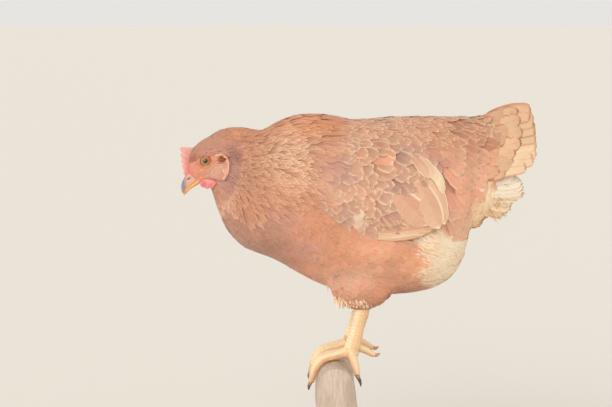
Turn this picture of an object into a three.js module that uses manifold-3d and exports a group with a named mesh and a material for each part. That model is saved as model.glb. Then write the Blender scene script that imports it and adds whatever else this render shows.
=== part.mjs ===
// A life-size brown laying hen that grips a cut length of wooden perch. Two rods hold the perch over a flat base.
// Millimetres, +Z up. The origin is the middle of the base's underside. The hen faces -X; its left is at -Y.
// The flesh solids are the outer form of the plumage, out to the feather tips.
import * as THREE from "three";
import { mergeVertices } from "three/addons/utils/BufferGeometryUtils.js";
import Module from "manifold-3d";

const wasm = await Module();
wasm.setup();

// ---------------------------------------------------------------- driving dimensions

const GAP = 0.3; // between pieces that touch

const BASE = { length: 230, width: 180, height: 14, corner: 24, bevel: 2 };
const ROD = { radius: 5, fromMiddle: 66, intoPerch: 9 };
const PERCH = {
  length: 200,
  wobble: 0.6,
  crown: { halfWidth: 21, rise: 22, height: 110 }, // the rounded top
  sides: [[-21.6, 96], [-22.2, 80], [-22, 69], [-17, 63.5], [21, 63.5], [25.5, 69], [25.2, 80], [22.6, 96]], // x, z
};

// The plumage from throat to tail coverts: each row is one upright section.
const BODY_ROWS = [
  // x, top, bottom, half width, height of the widest place as a share of the section
  [-152, 383, 345, 12, 0.45],
  [-143, 392.5, 326, 14.5, 0.45],
  [-137, 395.5, 305, 15.5, 0.45],
  [-128, 398.5, 283, 17.5, 0.42],
  [-117, 400, 268.5, 27, 0.4],
  [-104, 399, 258, 39, 0.38],
  [-85, 394.5, 251, 53, 0.38],
  [-73, 402, 247, 60, 0.4],
  [-58, 410, 239, 66, 0.44],
  [-40, 414.5, 228, 70, 0.47],
  [-20, 415, 217.5, 74, 0.5],
  [0, 412, 210, 76, 0.52],
  [20, 407.5, 205.5, 78, 0.52],
  [60, 411, 203.5, 77, 0.52],
  [90, 412, 205.5, 72, 0.52],
  [110, 412, 210, 65, 0.53],
  [131, 411.5, 221, 54, 0.55],
  [142, 411, 234, 47, 0.57],
  [149, 410.5, 249, 42, 0.6],
  [153, 410, 268, 38, 0.62],
  [156, 409.5, 281, 35, 0.62],
  [168, 411, 288.5, 30, 0.58],
  [182, 415, 297, 23, 0.56],
  [193, 418.5, 308, 15, 0.55],
  [201, 419, 324, 7, 0.55],
];
const BODY_SIDES = 24;

// The head in its own frame: x counts forwards from the eyes, z upwards. It is pitched down about the eyes.
const HEAD = { eyeLine: [-150, 0, 359.5], pitchDown: 38 };
const HEAD_ROWS = [
  // x, top, bottom, half width, widest place
  [-44, 13, -24, 19, 0.5],
  [-32, 19.5, -30, 20, 0.5],
  [-20, 22, -31, 18.6, 0.48],
  [-8, 22.5, -29, 16.8, 0.45],
  [2, 20.5, -26, 14.8, 0.45],
  [10, 16.5, -22.5, 12.6, 0.45],
  [18, 11, -19, 10.2, 0.42],
  [25, 4.5, -16.6, 8, 0.42],
  [29.5, 0.2, -15.4, 6.4, 0.42],
];
const UPPER_BILL_ROWS = [
  // x, top, bottom, half width, widest place
  [22, 1.5, -11, 6.4, 0.2],
  [28, 0.5, -11.3, 6, 0.2],
  [33, -1, -11.7, 5, 0.2],
  [38, -3.5, -12.5, 3.7, 0.25],
  [41.5, -6.6, -14, 2.4, 0.3],
  [43.9, -11.2, -16.4, 1.1, 0.4],
];
const LOWER_BILL_ROWS = [
  [20, -11.9, -16.4, 5.3, 0.7],
  [28, -12, -16.8, 4.7, 0.7],
  [34, -12.4, -16.2, 3.9, 0.7],
  [38.5, -13.4, -16.2, 2.6, 0.6],
  [41.2, -14.8, -16.7, 1.3, 0.5],
];
const COMB = {
  crest: [[29.8, 1.8], [24.4, 11.6], [18.8, 20.9], [11.9, 30.6]], // from the bill up to its highest corner
  back: [2.7, 22.5],
  sunk: [[-0.2, 15.7], [27.3, -2.8]],
  points: 5,
  pointHeight: 1.8,
  halfThickness: 2,
};
const EYE = { centre: [-1.2, 10, 0.4], radius: 6.5 };
const WATTLE = { centre: [14.2, 11.2, -21.9], length: 9.8, depth: 6.2, halfThickness: 1.9, swing: 25 };
const EARLOBE = { centre: [-11.5, 18, -23.5], length: 5, depth: 7, halfThickness: 2.2 };

// Planes that part the plumage: a point in each, and the degrees by which it leans forwards below.
const HEAD_CUT = { x: -117, z: 355, lean: 18.5 };
const NECK_CUT = { x: -86, z: 335, lean: 17 };
const TAIL_CUT = { x: 155, z: 346, lean: 0 };

// The folded wing, a shell that follows the side of the body.
const WING_ROWS = [
  // x, upper edge, lower edge, how far it stands proud of the body
  [-45, 364, 341, 0.5],
  [-36, 379, 323, 4],
  [-18, 389, 309, 7.5],
  [4, 393, 295, 9.5],
  [30, 392, 283, 10.5],
  [60, 387, 275.5, 10],
  [88, 378, 275, 8.5],
  [110, 362, 278, 7],
  [124, 343, 281, 5],
  [132, 320, 286, 3],
];
const WING = { edge: 1, depth: 5, points: 6, steps: 12 };

// The tail: pairs of blades that fan out from the rump like a tent, and shorter white ones under them. Angles
// are above the horizontal, `spread` swings the tips outwards, and `inner` and `step` place the roots sideways.
const TAIL_ROOT = [156, 352];
const TAIL_BLADES = {
  count: 6,
  from: 46,
  to: 0,
  longest: 97,
  shortest: 70,
  width: 28,
  spread: [0.6, 10],
  inner: 1.6,
  step: 3.3,
};
const UNDER_BLADES = {
  count: 3,
  from: -21,
  to: -53,
  longest: 70,
  shortest: 63,
  width: 23,
  spread: [6, 1],
  inner: 19,
  step: -4.5,
};
const BLADE = { tilt: 14, halfThickness: 0.8 };

// A leg, as the right one: y is counted outwards from the hen's middle.
const LEG_Y = 34;
const THIGH_ROWS = [
  // z, x of the middle, y of the middle, half length, half width
  [189.5, 31, 34, 11, 9.5],
  [193.5, 29.5, 34, 19, 13],
  [199.5, 29, 34.5, 28, 16.5],
  [207, 30, 35, 36, 18.5],
  [220, 31, 34, 38, 20],
  [236, 30, 31, 35, 17.5],
];
const SHANK_ROWS = [
  [140, 17.5, 34, 8.5, 8],
  [147, 19.8, 34, 9.4, 7.8],
  [154, 21.6, 34, 8.5, 6.8],
  [168, 25.4, 34, 7.5, 6],
  [189.2, 31.4, 34, 8.4, 6.8],
];
const FOOT_PAD = { centre: [17.5, 34, 140.5], half: [10, 9.5, 7.5] };
const TOES = {
  middle: {
    path: [[13, 35, 142], [0, 36, 138], [-13.5, 37, 134.3], [-22.7, 37.5, 124.8], [-26, 38, 114], [-28, 38, 107]],
    radii: [5.6, 5.3, 4.9, 4.4, 3.3],
    claw: [[-28.2, 38, 106.9], [-30.2, 38, 102.2], [-30.4, 38, 97.6]],
  },
  inner: {
    path: [[13, 30, 142], [1, 25.5, 138], [-11.5, 21, 134.9], [-21.3, 17.5, 126.7], [-24.9, 15.5, 117.8]],
    radii: [5.2, 4.9, 4.5, 4.1, 3.2],
    claw: [[-25, 15.4, 117.4], [-27.4, 14.6, 112.6], [-27.8, 14, 108.2]],
  },
  outer: {
    path: [[17.5, 38, 142], [20.3, 47, 136.5], [22.9, 55, 127.5], [24.9, 61, 118.2]],
    radii: [5.2, 4.9, 4.4, 3.2],
    claw: [[25, 61.2, 117.8], [28, 64.2, 112.4], [29, 66, 106.6]],
  },
  hind: {
    path: [[24, 32.5, 147], [33, 29.5, 143.6], [41, 27.5, 138.9], [45.6, 26.5, 136.8]],
    radii: [4.6, 4, 3.5, 2.8],
    claw: [[46, 26.4, 136.7], [49, 25.9, 136.7], [51.8, 25.6, 138.9]],
  },
};
const TOE_SIDES = 8;
const CLAW_RADII = [2.5, 1.9, 0.5];

const PAINT = {
  feather: [0xb5622f, 0.75],
  tail: [0xd9a877, 0.75],
  bare: [0xc8553f, 0.6],
  comb: [0xc23a35, 0.5],
  lobe: [0xe0a48c, 0.6],
  bill: [0xc98f5c, 0.4],
  claw: [0x4a3d33, 0.4],
  scale: [0xe9c07a, 0.5],
  eye: [0x2a1a10, 0.1],
  bark: [0xa99a8c, 0.8],
  board: [0x3a2a20, 0.5],
  steel: [0x8f9296, 0.35],
};

// ---------------------------------------------------------------- helpers

// Rows [x, a, b, ...] as a function that gives [a, b, ...] at any x: a monotone cubic, which never overshoots.
function along(rows) {
  const x = rows.map((row) => row[0]);
  const step = x.slice(1).map((value, i) => value - x[i]);
  const tangents = (column) => {
    const slope = step.map((h, i) => (rows[i + 1][column] - rows[i][column]) / h);
    return x.map((_, i) => {
      if (i === 0) return slope[0];
      if (i === x.length - 1) return slope[i - 1];
      const [before, after] = [slope[i - 1], slope[i]];
      return before * after <= 0 ? 0 : (2 * before * after) / (before + after);
    });
  };
  const columns = rows[0].slice(1).map((_, c) => tangents(c + 1));
  return (at) => {
    const clamped = Math.min(Math.max(at, x[0]), x[x.length - 1]);
    const i = Math.min(Math.max(x.findIndex((value) => value > clamped) - 1, 0), step.length - 1);
    const k = clamped >= x[x.length - 1] ? step.length - 1 : i;
    const t = (clamped - x[k]) / step[k];
    const [fromA, fromB] = [(1 + 2 * t) * (1 - t) ** 2, t * t * (3 - 2 * t)];
    const [slopeA, slopeB] = [t * (1 - t) ** 2 * step[k], t * t * (t - 1) * step[k]];
    return columns.map(
      (tangent, c) =>
        fromA * rows[k][c + 1] + fromB * rows[k + 1][c + 1] + slopeA * tangent[k] + slopeB * tangent[k + 1],
    );
  };
}

// Each row's x, with `between` more values inside each interval.
function stations(rows, between) {
  const found = [rows[0][0]];
  for (let i = 1; i < rows.length; i++) {
    for (let k = 1; k <= between + 1; k++) {
      found.push(THREE.MathUtils.lerp(rows[i - 1][0], rows[i][0], k / (between + 1)));
    }
  }
  return found;
}

// An oval ring about a centre. `wide` reaches to both sides; `rise` and `drop` reach up and down.
function oval(centre, sideways, upwards, wide, rise, drop, count) {
  const ring = [];
  for (let i = 0; i < count; i++) {
    const turn = (2 * Math.PI * i) / count;
    const height = Math.sin(turn);
    ring.push(
      centre
        .clone()
        .addScaledVector(sideways, wide * Math.cos(turn))
        .addScaledVector(upwards, height * (height > 0 ? rise : drop)),
    );
  }
  return ring;
}

const rad = THREE.MathUtils.degToRad;
const AXIS_X = new THREE.Vector3(1, 0, 0);
const AXIS_Y = new THREE.Vector3(0, 1, 0);
const AXIS_Z = new THREE.Vector3(0, 0, 1);

// A closed body through rings of one size, with a fan over each end, as a solid that faces outwards.
function through(rings) {
  const count = rings[0].length;
  const middle = (ring) => ring.reduce((sum, p) => sum.add(p), new THREE.Vector3()).divideScalar(count);
  const points = [...rings.flat(), middle(rings[0]), middle(rings[rings.length - 1])];
  const [first, last] = [points.length - 2, points.length - 1];
  const faces = [];
  for (let i = 0; i < count; i++) {
    const next = (i + 1) % count;
    for (let r = 0; r + 1 < rings.length; r++) {
      const [a, b] = [r * count + i, r * count + next];
      faces.push(a, b, b + count, a, b + count, a + count);
    }
    const end = (rings.length - 1) * count;
    faces.push(first, next, i, last, end + i, end + next);
  }
  const made = new wasm.Mesh({
    numProp: 3,
    vertProperties: new Float32Array(points.flatMap((p) => [p.x, p.y, p.z])),
    triVerts: new Uint32Array(faces),
  });
  if (new wasm.Manifold(made).volume() > 0) return new wasm.Manifold(made);
  for (let i = 0; i < faces.length; i += 3) [faces[i + 1], faces[i + 2]] = [faces[i + 2], faces[i + 1]];
  made.triVerts = new Uint32Array(faces);
  return new wasm.Manifold(made);
}

// A three.js geometry as a solid.
function solid(geometry) {
  geometry.deleteAttribute("normal");
  geometry.deleteAttribute("uv");
  const merged = mergeVertices(geometry, 1e-3);
  return new wasm.Manifold(
    new wasm.Mesh({
      numProp: 3,
      vertProperties: merged.attributes.position.array,
      triVerts: new Uint32Array(merged.index.array),
    }),
  );
}

// A round tube along a smooth path whose radius goes evenly through `radii`.
function tube(path, radii, { grow = 0, sides = TOE_SIDES, steps = path.length + 2 } = {}) {
  const line = new THREE.CatmullRomCurve3(path.map((p) => new THREE.Vector3(...p)));
  const { normals, binormals } = line.computeFrenetFrames(steps, false);
  const radius = along(radii.map((r, i) => [i / (radii.length - 1), r]));
  const rings = [];
  for (let i = 0; i <= steps; i++) {
    const r = radius(i / steps)[0] + grow;
    rings.push(oval(line.getPointAt(i / steps), normals[i], binormals[i], r, r, r, sides));
  }
  return through(rings);
}

// Level ovals stacked upwards, from rows [z, x, y, half length, half width].
function stack(rows, { grow = 0, sides = 16, between = 0 } = {}) {
  const at = along(rows);
  return through(
    stations(rows, between).map((z) => {
      const [x, y, long, wide] = at(z);
      return oval(new THREE.Vector3(x, y, z), AXIS_X, AXIS_Y, long + grow, wide + grow, wide + grow, sides);
    }),
  );
}

// Upright ovals strung along x, from rows [x, top, bottom, half width, widest place].
function strung(rows, { grow = 0, sides = 10, between = 0 } = {}) {
  const at = along(rows);
  return through(
    stations(rows, between).map((x) => {
      const [top, bottom, wide, widest] = at(x);
      const z = THREE.MathUtils.lerp(bottom, top, widest);
      const centre = new THREE.Vector3(x, 0, z);
      return oval(centre, AXIS_Y, AXIS_Z, wide + grow, top - z + grow, z - bottom + grow, sides);
    }),
  );
}

function ellipsoid([x, y, z], [rx, ry, rz], grow = 0) {
  const ball = new THREE.SphereGeometry(1, 10, 7);
  ball.scale(rx + grow, ry + grow, rz + grow);
  ball.translate(x, y, z);
  return solid(ball);
}

// The half of space behind (+x of) an upright plane that leans forwards below, moved back by `shift`.
function behind({ x, z, lean }, shift) {
  const reach = 600;
  const block = new THREE.BoxGeometry(reach, reach, reach);
  block.translate(reach / 2 + shift, 0, 0);
  block.rotateY(rad(lean));
  block.translate(x, 0, z);
  return solid(block);
}

// The same piece on the other side of the hen.
const mirrored = (made) => made.mirror([0, 1, 0]);

// From the head's own frame, where x counts forwards, to the part's frame.
function fromHead(made) {
  const turned = made.rotate([0, 0, 180]).rotate([0, -HEAD.pitchDown, 0]);
  return turned.translate(HEAD.eyeLine);
}

const group = new THREE.Group();

function add(name, made, [colour, roughness], metalness = 0) {
  const { vertProperties, triVerts, numProp, numVert } = made.getMesh();
  const places = new Float32Array(numVert * 3);
  for (let i = 0; i < numVert; i++) places.set(vertProperties.subarray(i * numProp, i * numProp + 3), i * 3);
  const geometry = new THREE.BufferGeometry();
  geometry.setAttribute("position", new THREE.BufferAttribute(places, 3));
  geometry.setIndex(new THREE.BufferAttribute(new Uint32Array(triVerts), 1));
  geometry.computeVertexNormals();
  const material = new THREE.MeshStandardMaterial({ color: colour, roughness, metalness });
  const mesh = new THREE.Mesh(geometry, material);
  mesh.name = name;
  group.add(mesh);
}

// ---------------------------------------------------------------- the plumage

const bodyAt = along(BODY_ROWS);

const body = (grow = 0) => strung(BODY_ROWS, { grow, sides: BODY_SIDES });

// The wing as a shell between two depths under and over the body's own side, for the right side.
function wing(grow = 0) {
  const at = along(WING_ROWS);
  const [from, to] = [WING_ROWS[0][0] - grow, WING_ROWS[WING_ROWS.length - 1][0] + grow];
  const rings = [];
  for (let i = 0; i <= WING.steps; i++) {
    const x = THREE.MathUtils.lerp(from, to, i / WING.steps);
    const [upper, lower, proud] = at(x);
    const [top, bottom, wide, widest] = bodyAt(x);
    const z = THREE.MathUtils.lerp(bottom, top, widest);
    const turnAt = (height) => Math.asin((height - z) / (height > z ? top - z : z - bottom));
    const [high, low] = [turnAt(upper + grow), turnAt(lower - grow)];
    const place = (share, out) => {
      const turn = THREE.MathUtils.lerp(high, low, share);
      const outwards = new THREE.Vector3(0, Math.cos(turn), Math.sin(turn));
      const reach = Math.sin(turn) > 0 ? top - z : z - bottom;
      const side = new THREE.Vector3(x, wide * Math.cos(turn), z + reach * Math.sin(turn));
      return side.addScaledVector(outwards, out);
    };
    const ring = [];
    for (let k = 0; k < WING.points; k++) {
      const share = k / (WING.points - 1);
      ring.push(place(share, WING.edge + proud * Math.sqrt(Math.sin(Math.PI * share)) + grow));
    }
    for (let k = WING.points - 1; k >= 0; k--) ring.push(place(k / (WING.points - 1), -WING.depth - grow));
    rings.push(ring);
  }
  return through(rings);
}

// One tail feather: a thin blade from the root out. Its lower edge stands farther out than its upper one.
function blade({ angle, length, width, swing, root }) {
  const shape = along([
    [0.15, 0.3],
    [0.45, 0.43],
    [0.78, 0.5],
    [0.93, 0.36],
    [1, 0.12],
  ]);
  const out = new THREE.Vector3(Math.cos(angle), Math.tan(swing), Math.sin(angle)).normalize();
  const across = new THREE.Vector3(-Math.sin(angle), 0, Math.cos(angle)).applyAxisAngle(out, -rad(BLADE.tilt));
  const thick = new THREE.Vector3().crossVectors(out, across);
  const corners = [[1, 1], [-1, 1], [-1, -1], [1, -1]];
  return through(
    [0.2, 0.78, 0.9, 0.97, 1].map((share) => {
      const half = width * shape(share)[0];
      const at = new THREE.Vector3(TAIL_ROOT[0], root, TAIL_ROOT[1]).addScaledVector(out, length * share);
      return corners.map(([w, t]) =>
        at.clone().addScaledVector(across, w * half).addScaledVector(thick, t * BLADE.halfThickness),
      );
    }),
  );
}

function fan({ count, from, to, longest, shortest, width, spread, inner, step }) {
  let made = null;
  for (let i = 0; i < count; i++) {
    const between = (a, b) => THREE.MathUtils.lerp(a, b, i / (count - 1));
    const one = blade({
      angle: rad(between(from, to)),
      length: between(longest, shortest),
      width,
      swing: rad(between(...spread)),
      root: inner + step * i,
    });
    made = made ? made.add(one) : one;
  }
  return made.add(mirrored(made));
}

// ---------------------------------------------------------------- the head's bare pieces

const eye = (grow = 0) => ellipsoid(EYE.centre, [EYE.radius, EYE.radius, EYE.radius], grow);
// A wattle hangs level while the head is pitched down, and its front end turns in towards the chin.
const wattle = (grow = 0) =>
  ellipsoid([0, 0, 0], [WATTLE.length, WATTLE.halfThickness, WATTLE.depth], grow)
    .rotate([0, 0, -WATTLE.swing])
    .rotate([0, -HEAD.pitchDown, 0])
    .translate(WATTLE.centre);
const earlobe = (grow = 0) =>
  ellipsoid(EARLOBE.centre, [EARLOBE.length, EARLOBE.halfThickness, EARLOBE.depth], grow);

// The comb: a thin blade over the forehead that is highest at its rear corner. Its crest rises in points.
function comb(grow = 0) {
  const { crest, back, sunk, points, pointHeight, halfThickness } = COMB;
  const line = crest.map(([x, z]) => new THREE.Vector2(x, z));
  const run = line[line.length - 1].clone().sub(line[0]);
  const out = new THREE.Vector2(run.y, -run.x).normalize();
  const steps = 4 * points;
  const edge = [];
  for (let i = 0; i <= steps; i++) {
    const share = i / steps;
    const k = Math.min(Math.floor(share * (line.length - 1)), line.length - 2);
    const at = line[k].clone().lerp(line[k + 1], share * (line.length - 1) - k);
    const scallop = Math.abs(Math.sin(Math.PI * points * share)) - 0.5;
    at.addScaledVector(out, pointHeight * scallop);
    edge.push([at.x, at.y]);
  }
  const sections = new wasm.CrossSection([[...edge, back, ...sunk]], "NonZero").offset(grow, "Miter");
  const outline = new THREE.Shape(sections.toPolygons()[0].map(([x, z]) => new THREE.Vector2(x, z)));
  const bevel = 0.8;
  const plate = new THREE.ExtrudeGeometry(outline, {
    depth: 2 * (halfThickness - bevel + grow),
    bevelThickness: bevel,
    bevelSize: bevel,
    bevelOffset: -bevel,
    bevelSegments: 1,
  });
  plate.translate(0, 0, -(halfThickness - bevel + grow));
  plate.rotateX(Math.PI / 2);
  return solid(plate);
}

const upperBill = (grow = 0) => strung(UPPER_BILL_ROWS, { grow });
const lowerBill = (grow = 0) => strung(LOWER_BILL_ROWS, { grow });

// ---------------------------------------------------------------- the body, parted into its nodes

const lobePair = (grow) => fromHead(earlobe(grow).add(mirrored(earlobe(grow))));
const headForm = fromHead(strung(HEAD_ROWS, { sides: 16 }));
const whole = body().add(headForm);
const wings = wing(GAP).add(mirrored(wing(GAP)));
const between = (front, back) => whole.intersect(behind(front, GAP / 2)).subtract(behind(back, -GAP / 2));

const headSolid = whole
  .subtract(behind(HEAD_CUT, -GAP / 2))
  .subtract(fromHead(eye(GAP).add(mirrored(eye(GAP)))))
  .subtract(fromHead(upperBill(GAP).add(lowerBill(GAP))))
  .subtract(fromHead(wattle(GAP).add(mirrored(wattle(GAP)))))
  .subtract(fromHead(comb(GAP)))
  .subtract(lobePair(GAP));
add("head", headSolid, PAINT.feather);
add("neck", between(HEAD_CUT, NECK_CUT).subtract(lobePair(GAP)), PAINT.feather);
add("trunk", between(NECK_CUT, TAIL_CUT).subtract(wings), PAINT.feather);
const fans = fan(TAIL_BLADES).add(fan(UNDER_BLADES));
add("tail", body().add(fans).intersect(behind(TAIL_CUT, GAP / 2)), PAINT.tail);
add("wing_right", wing(), PAINT.feather);
add("wing_left", mirrored(wing()), PAINT.feather);

add("bill_upper", fromHead(upperBill().subtract(comb(GAP))), PAINT.bill);
add("bill_lower", fromHead(lowerBill()), PAINT.bill);
add("comb", fromHead(comb()), PAINT.comb);
for (const [side, place] of [["right", (made) => made], ["left", mirrored]]) {
  add("eye_" + side, fromHead(place(eye())), PAINT.eye);
  add("wattle_" + side, fromHead(place(wattle().subtract(lowerBill(GAP)))), PAINT.comb);
  add("earlobe_" + side, fromHead(place(earlobe())), PAINT.lobe);
}

// ---------------------------------------------------------------- legs and stand

// The perch: a rail with a rounded top, sides that flare a little and a flat underside. It lies along y, with a
// slight wobble to its girth.
function perch(grow = 0) {
  const { length, wobble, crown, sides } = PERCH;
  const middle = new THREE.Vector2(0, (crown.height + crown.rise + sides[3][1]) / 2);
  const section = sides.map(([x, z]) => new THREE.Vector2(x, z));
  const arc = 9;
  for (let i = 0; i <= arc; i++) {
    const turn = (Math.PI * i) / arc;
    const x = crown.halfWidth * Math.cos(turn);
    section.push(new THREE.Vector2(x, crown.height + crown.rise * Math.sin(turn)));
  }
  const steps = 9;
  const rings = [];
  for (let i = 0; i <= steps; i++) {
    const y = THREE.MathUtils.lerp(-length / 2 - grow, length / 2 + grow, i / steps);
    const chamfer = i === 0 || i === steps ? 1.2 : 0;
    const girth = grow + wobble * Math.sin(y / 23) - chamfer;
    rings.push(
      section.map((p) => {
        const out = p.clone().sub(middle).normalize().multiplyScalar(girth * 1.1);
        return new THREE.Vector3(p.x + out.x, y, p.y + out.y);
      }),
    );
  }
  return through(rings);
}

const foot = (grow = 0) =>
  stack(SHANK_ROWS, { grow, sides: 10 }).add(ellipsoid(FOOT_PAD.centre, FOOT_PAD.half, grow));

for (const [side, place] of [["right", (made) => made], ["left", mirrored]]) {
  add("thigh_" + side, place(stack(THIGH_ROWS, { sides: 16 }).subtract(body(GAP))), PAINT.feather);
  add("shank_" + side, place(foot().subtract(perch(GAP))), PAINT.scale);
  let taken = foot(GAP).add(perch(GAP));
  for (const [name, { path, radii, claw }] of Object.entries(TOES)) {
    const toe = tube(path, radii).subtract(taken);
    taken = taken.add(tube(path, radii, { grow: GAP }));
    add("toe_" + name + "_" + side, place(toe), PAINT.scale);
    const nail = tube(claw, CLAW_RADII, { sides: 7, steps: 4 }).subtract(taken);
    add("claw_" + name + "_" + side, place(nail), PAINT.claw);
  }
}

add("stand_perch", perch(), PAINT.bark);

function baseBoard() {
  const { length, width, height, corner, bevel } = BASE;
  const [x, y] = [length / 2 - bevel, width / 2 - bevel];
  const outline = new THREE.Shape();
  outline.moveTo(-x + corner, -y);
  outline.lineTo(x - corner, -y);
  outline.absarc(x - corner, -y + corner, corner, -Math.PI / 2, 0);
  outline.absarc(x - corner, y - corner, corner, 0, Math.PI / 2);
  outline.absarc(-x + corner, y - corner, corner, Math.PI / 2, Math.PI);
  outline.absarc(-x + corner, -y + corner, corner, Math.PI, 1.5 * Math.PI);
  const board = new THREE.ExtrudeGeometry(outline, {
    depth: height - 2 * bevel,
    bevelThickness: bevel,
    bevelSize: bevel,
    bevelSegments: 1,
    curveSegments: 3,
  });
  board.translate(0, 0, bevel);
  return solid(board);
}

add("stand_base", baseBoard(), PAINT.board);
for (const [name, y] of [["stand_rod_right", ROD.fromMiddle], ["stand_rod_left", -ROD.fromMiddle]]) {
  const top = PERCH.sides[3][1] + ROD.intoPerch;
  const bottom = BASE.height + GAP;
  const rod = new THREE.CylinderGeometry(ROD.radius, ROD.radius, top - bottom, 12);
  rod.rotateX(Math.PI / 2);
  rod.translate(0, y, (top + bottom) / 2);
  add(name, solid(rod).subtract(perch(GAP)), PAINT.steel, 1);
}

export default group;
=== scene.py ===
"""The looks of a brown laying hen on its perch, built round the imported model: one skin, its plumage, the bare
parts, the stand, the light and the camera. Lengths are millimetres in the model's frame, and MM turns them into
Blender's metres: +Z up, the hen faces -X, and its left side is at -Y."""

import math

import bmesh
import bpy
import numpy as np
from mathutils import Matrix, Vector
from mathutils.bvhtree import BVHTree
from mathutils.kdtree import KDTree


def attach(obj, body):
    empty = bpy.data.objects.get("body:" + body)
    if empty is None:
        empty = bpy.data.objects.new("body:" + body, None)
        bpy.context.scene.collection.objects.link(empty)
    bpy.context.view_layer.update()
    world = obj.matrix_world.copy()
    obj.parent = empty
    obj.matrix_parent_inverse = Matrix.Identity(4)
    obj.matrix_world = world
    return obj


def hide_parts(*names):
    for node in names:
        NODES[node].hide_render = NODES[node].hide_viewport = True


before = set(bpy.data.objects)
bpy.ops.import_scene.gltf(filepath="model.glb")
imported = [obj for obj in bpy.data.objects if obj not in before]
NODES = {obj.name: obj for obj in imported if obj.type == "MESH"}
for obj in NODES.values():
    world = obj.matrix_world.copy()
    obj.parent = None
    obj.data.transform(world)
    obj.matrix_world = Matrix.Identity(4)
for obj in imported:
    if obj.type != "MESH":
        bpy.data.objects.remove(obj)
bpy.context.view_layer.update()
MM = 0.001


# ---------------------------------------------------------------- numbers


def step(low, high, x):
    """0 below low, 1 above high, smooth between. Works downwards too, when high is less than low."""
    t = np.clip((np.asarray(x, float) - low) / (high - low), 0, 1)
    return t * t * (3 - 2 * t)


def mix(a, b, t):
    return a + (b - a) * t


def over(below, above, share):
    """One colour, or other row of values, laid over another with a share for each point."""
    return mix(below, above, share[:, None])


def bump_at(x, centre, width):
    return np.exp(-(((x - centre) / width) ** 2))


def spot(p, x, z, long, tall):
    """A soft spot seen from the side: 1 in its middle, and fading over its reach along x and z."""
    return np.exp(-(((p[:, 0] - x) / long) ** 2) - ((p[:, 2] - z) / tall) ** 2)


def unit(v):
    return v / np.maximum(np.linalg.norm(v, axis=-1, keepdims=True), 1e-9)


def srgb(*rgb):
    """A colour seen on a screen, 0 to 255, as linear light."""
    c = np.array(rgb, float) / 255
    return np.where(c <= 0.04045, c / 12.92, ((c + 0.055) / 1.055) ** 2.4)


def along(rows, x):
    """Rows [x, a, b, ...] read at x by a smooth curve that never overshoots (monotone cubic)."""
    rows = np.array(rows, float)
    x = np.clip(np.asarray(x, float), rows[0, 0], rows[-1, 0])
    h = np.diff(rows[:, 0])
    i = np.clip(np.searchsorted(rows[:, 0], x, side="right") - 1, 0, len(h) - 1)
    t = (x - rows[i, 0]) / h[i]
    out = []
    for c in range(1, rows.shape[1]):
        y = rows[:, c]
        slope = np.diff(y) / h
        tangent = np.zeros(len(y))
        tangent[0], tangent[-1] = slope[0], slope[-1]
        both = slope[:-1] * slope[1:]
        harmonic = 2 * both / np.where(both > 0, slope[:-1] + slope[1:], 1)
        tangent[1:-1] = np.where(both > 0, harmonic, 0)
        out.append(
            (1 + 2 * t) * (1 - t) ** 2 * y[i]
            + t * t * (3 - 2 * t) * y[i + 1]
            + h[i] * t * (1 - t) ** 2 * tangent[i]
            + h[i] * t * t * (t - 1) * tangent[i + 1]
        )
    return out


def waves(p, size, seed):
    """Smooth noise from -1 to 1 at points p, with features about `size` across: a sum of turned waves."""
    made = np.random.default_rng(seed)
    total = np.zeros(p.shape[:-1])
    for _ in range(7):
        way = unit(made.normal(size=3)) * made.uniform(0.7, 1.6) * math.pi / size
        total += np.sin(p @ way + made.uniform(0, 6.3))
    return total / 3.5


# ---------------------------------------------------------------- mesh


def circle(count):
    """Angles evenly round a circle."""
    return np.arange(count) * 2 * math.pi / count


def add(name, data):
    obj = bpy.data.objects.new(name, data)
    bpy.context.collection.objects.link(obj)
    return obj


def read(items, key, width=1, kind=np.float32):
    """A value, or a row of them, for each item of one of Blender's lists."""
    values = np.empty(len(items) * width, kind)
    items.foreach_get(key, values)
    return values.reshape(-1, width) if width > 1 else values


def mesh_object(name, points, quads, tris, material=None):
    """A mesh object from millimetre points and arrays of faces."""
    quads = np.asarray(quads, np.int32).reshape(-1, 4)
    tris = np.asarray(tris, np.int32).reshape(-1, 3)
    mesh = bpy.data.meshes.new(name)
    mesh.vertices.add(len(points))
    mesh.vertices.foreach_set("co", (np.asarray(points, np.float32) * MM).ravel())
    mesh.loops.add(quads.size + tris.size)
    mesh.loops.foreach_set("vertex_index", np.concatenate([quads.ravel(), tris.ravel()]))
    mesh.polygons.add(len(quads) + len(tris))
    starts = np.concatenate([np.arange(len(quads)) * 4, quads.size + np.arange(len(tris)) * 3])
    mesh.polygons.foreach_set("loop_start", starts.astype(np.int32))
    mesh.polygons.foreach_set("use_smooth", np.ones(len(starts), bool))
    mesh.update(calc_edges=True)
    if material:
        mesh.materials.append(material)
    return add(name, mesh)


def faces_through(rings, sides):
    """Quads and end fans of a closed loft. Points are ring after ring, then the two end middles."""
    i, r = np.meshgrid(np.arange(sides), np.arange(rings - 1))
    a = r * sides + i
    b = r * sides + (i + 1) % sides
    quads = np.stack([a, b, b + sides, a + sides], -1).reshape(-1, 4)
    k = np.arange(sides)
    end, middle = (rings - 1) * sides, rings * sides
    tris = [np.stack([np.full(sides, middle), (k + 1) % sides, k], -1)]
    tris.append(np.stack([np.full(sides, middle + 1), end + k, end + (k + 1) % sides], -1))
    return quads, np.concatenate(tris)


def loft(name, rings, material=None):
    """A closed body through rings of points, with a fan over each end."""
    rings = np.asarray(rings, float)
    points = np.concatenate([rings.reshape(-1, 3), [rings[0].mean(0)], [rings[-1].mean(0)]])
    obj = mesh_object(name, points, *faces_through(*rings.shape[:2]), material)
    outwards(obj)
    return obj


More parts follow.
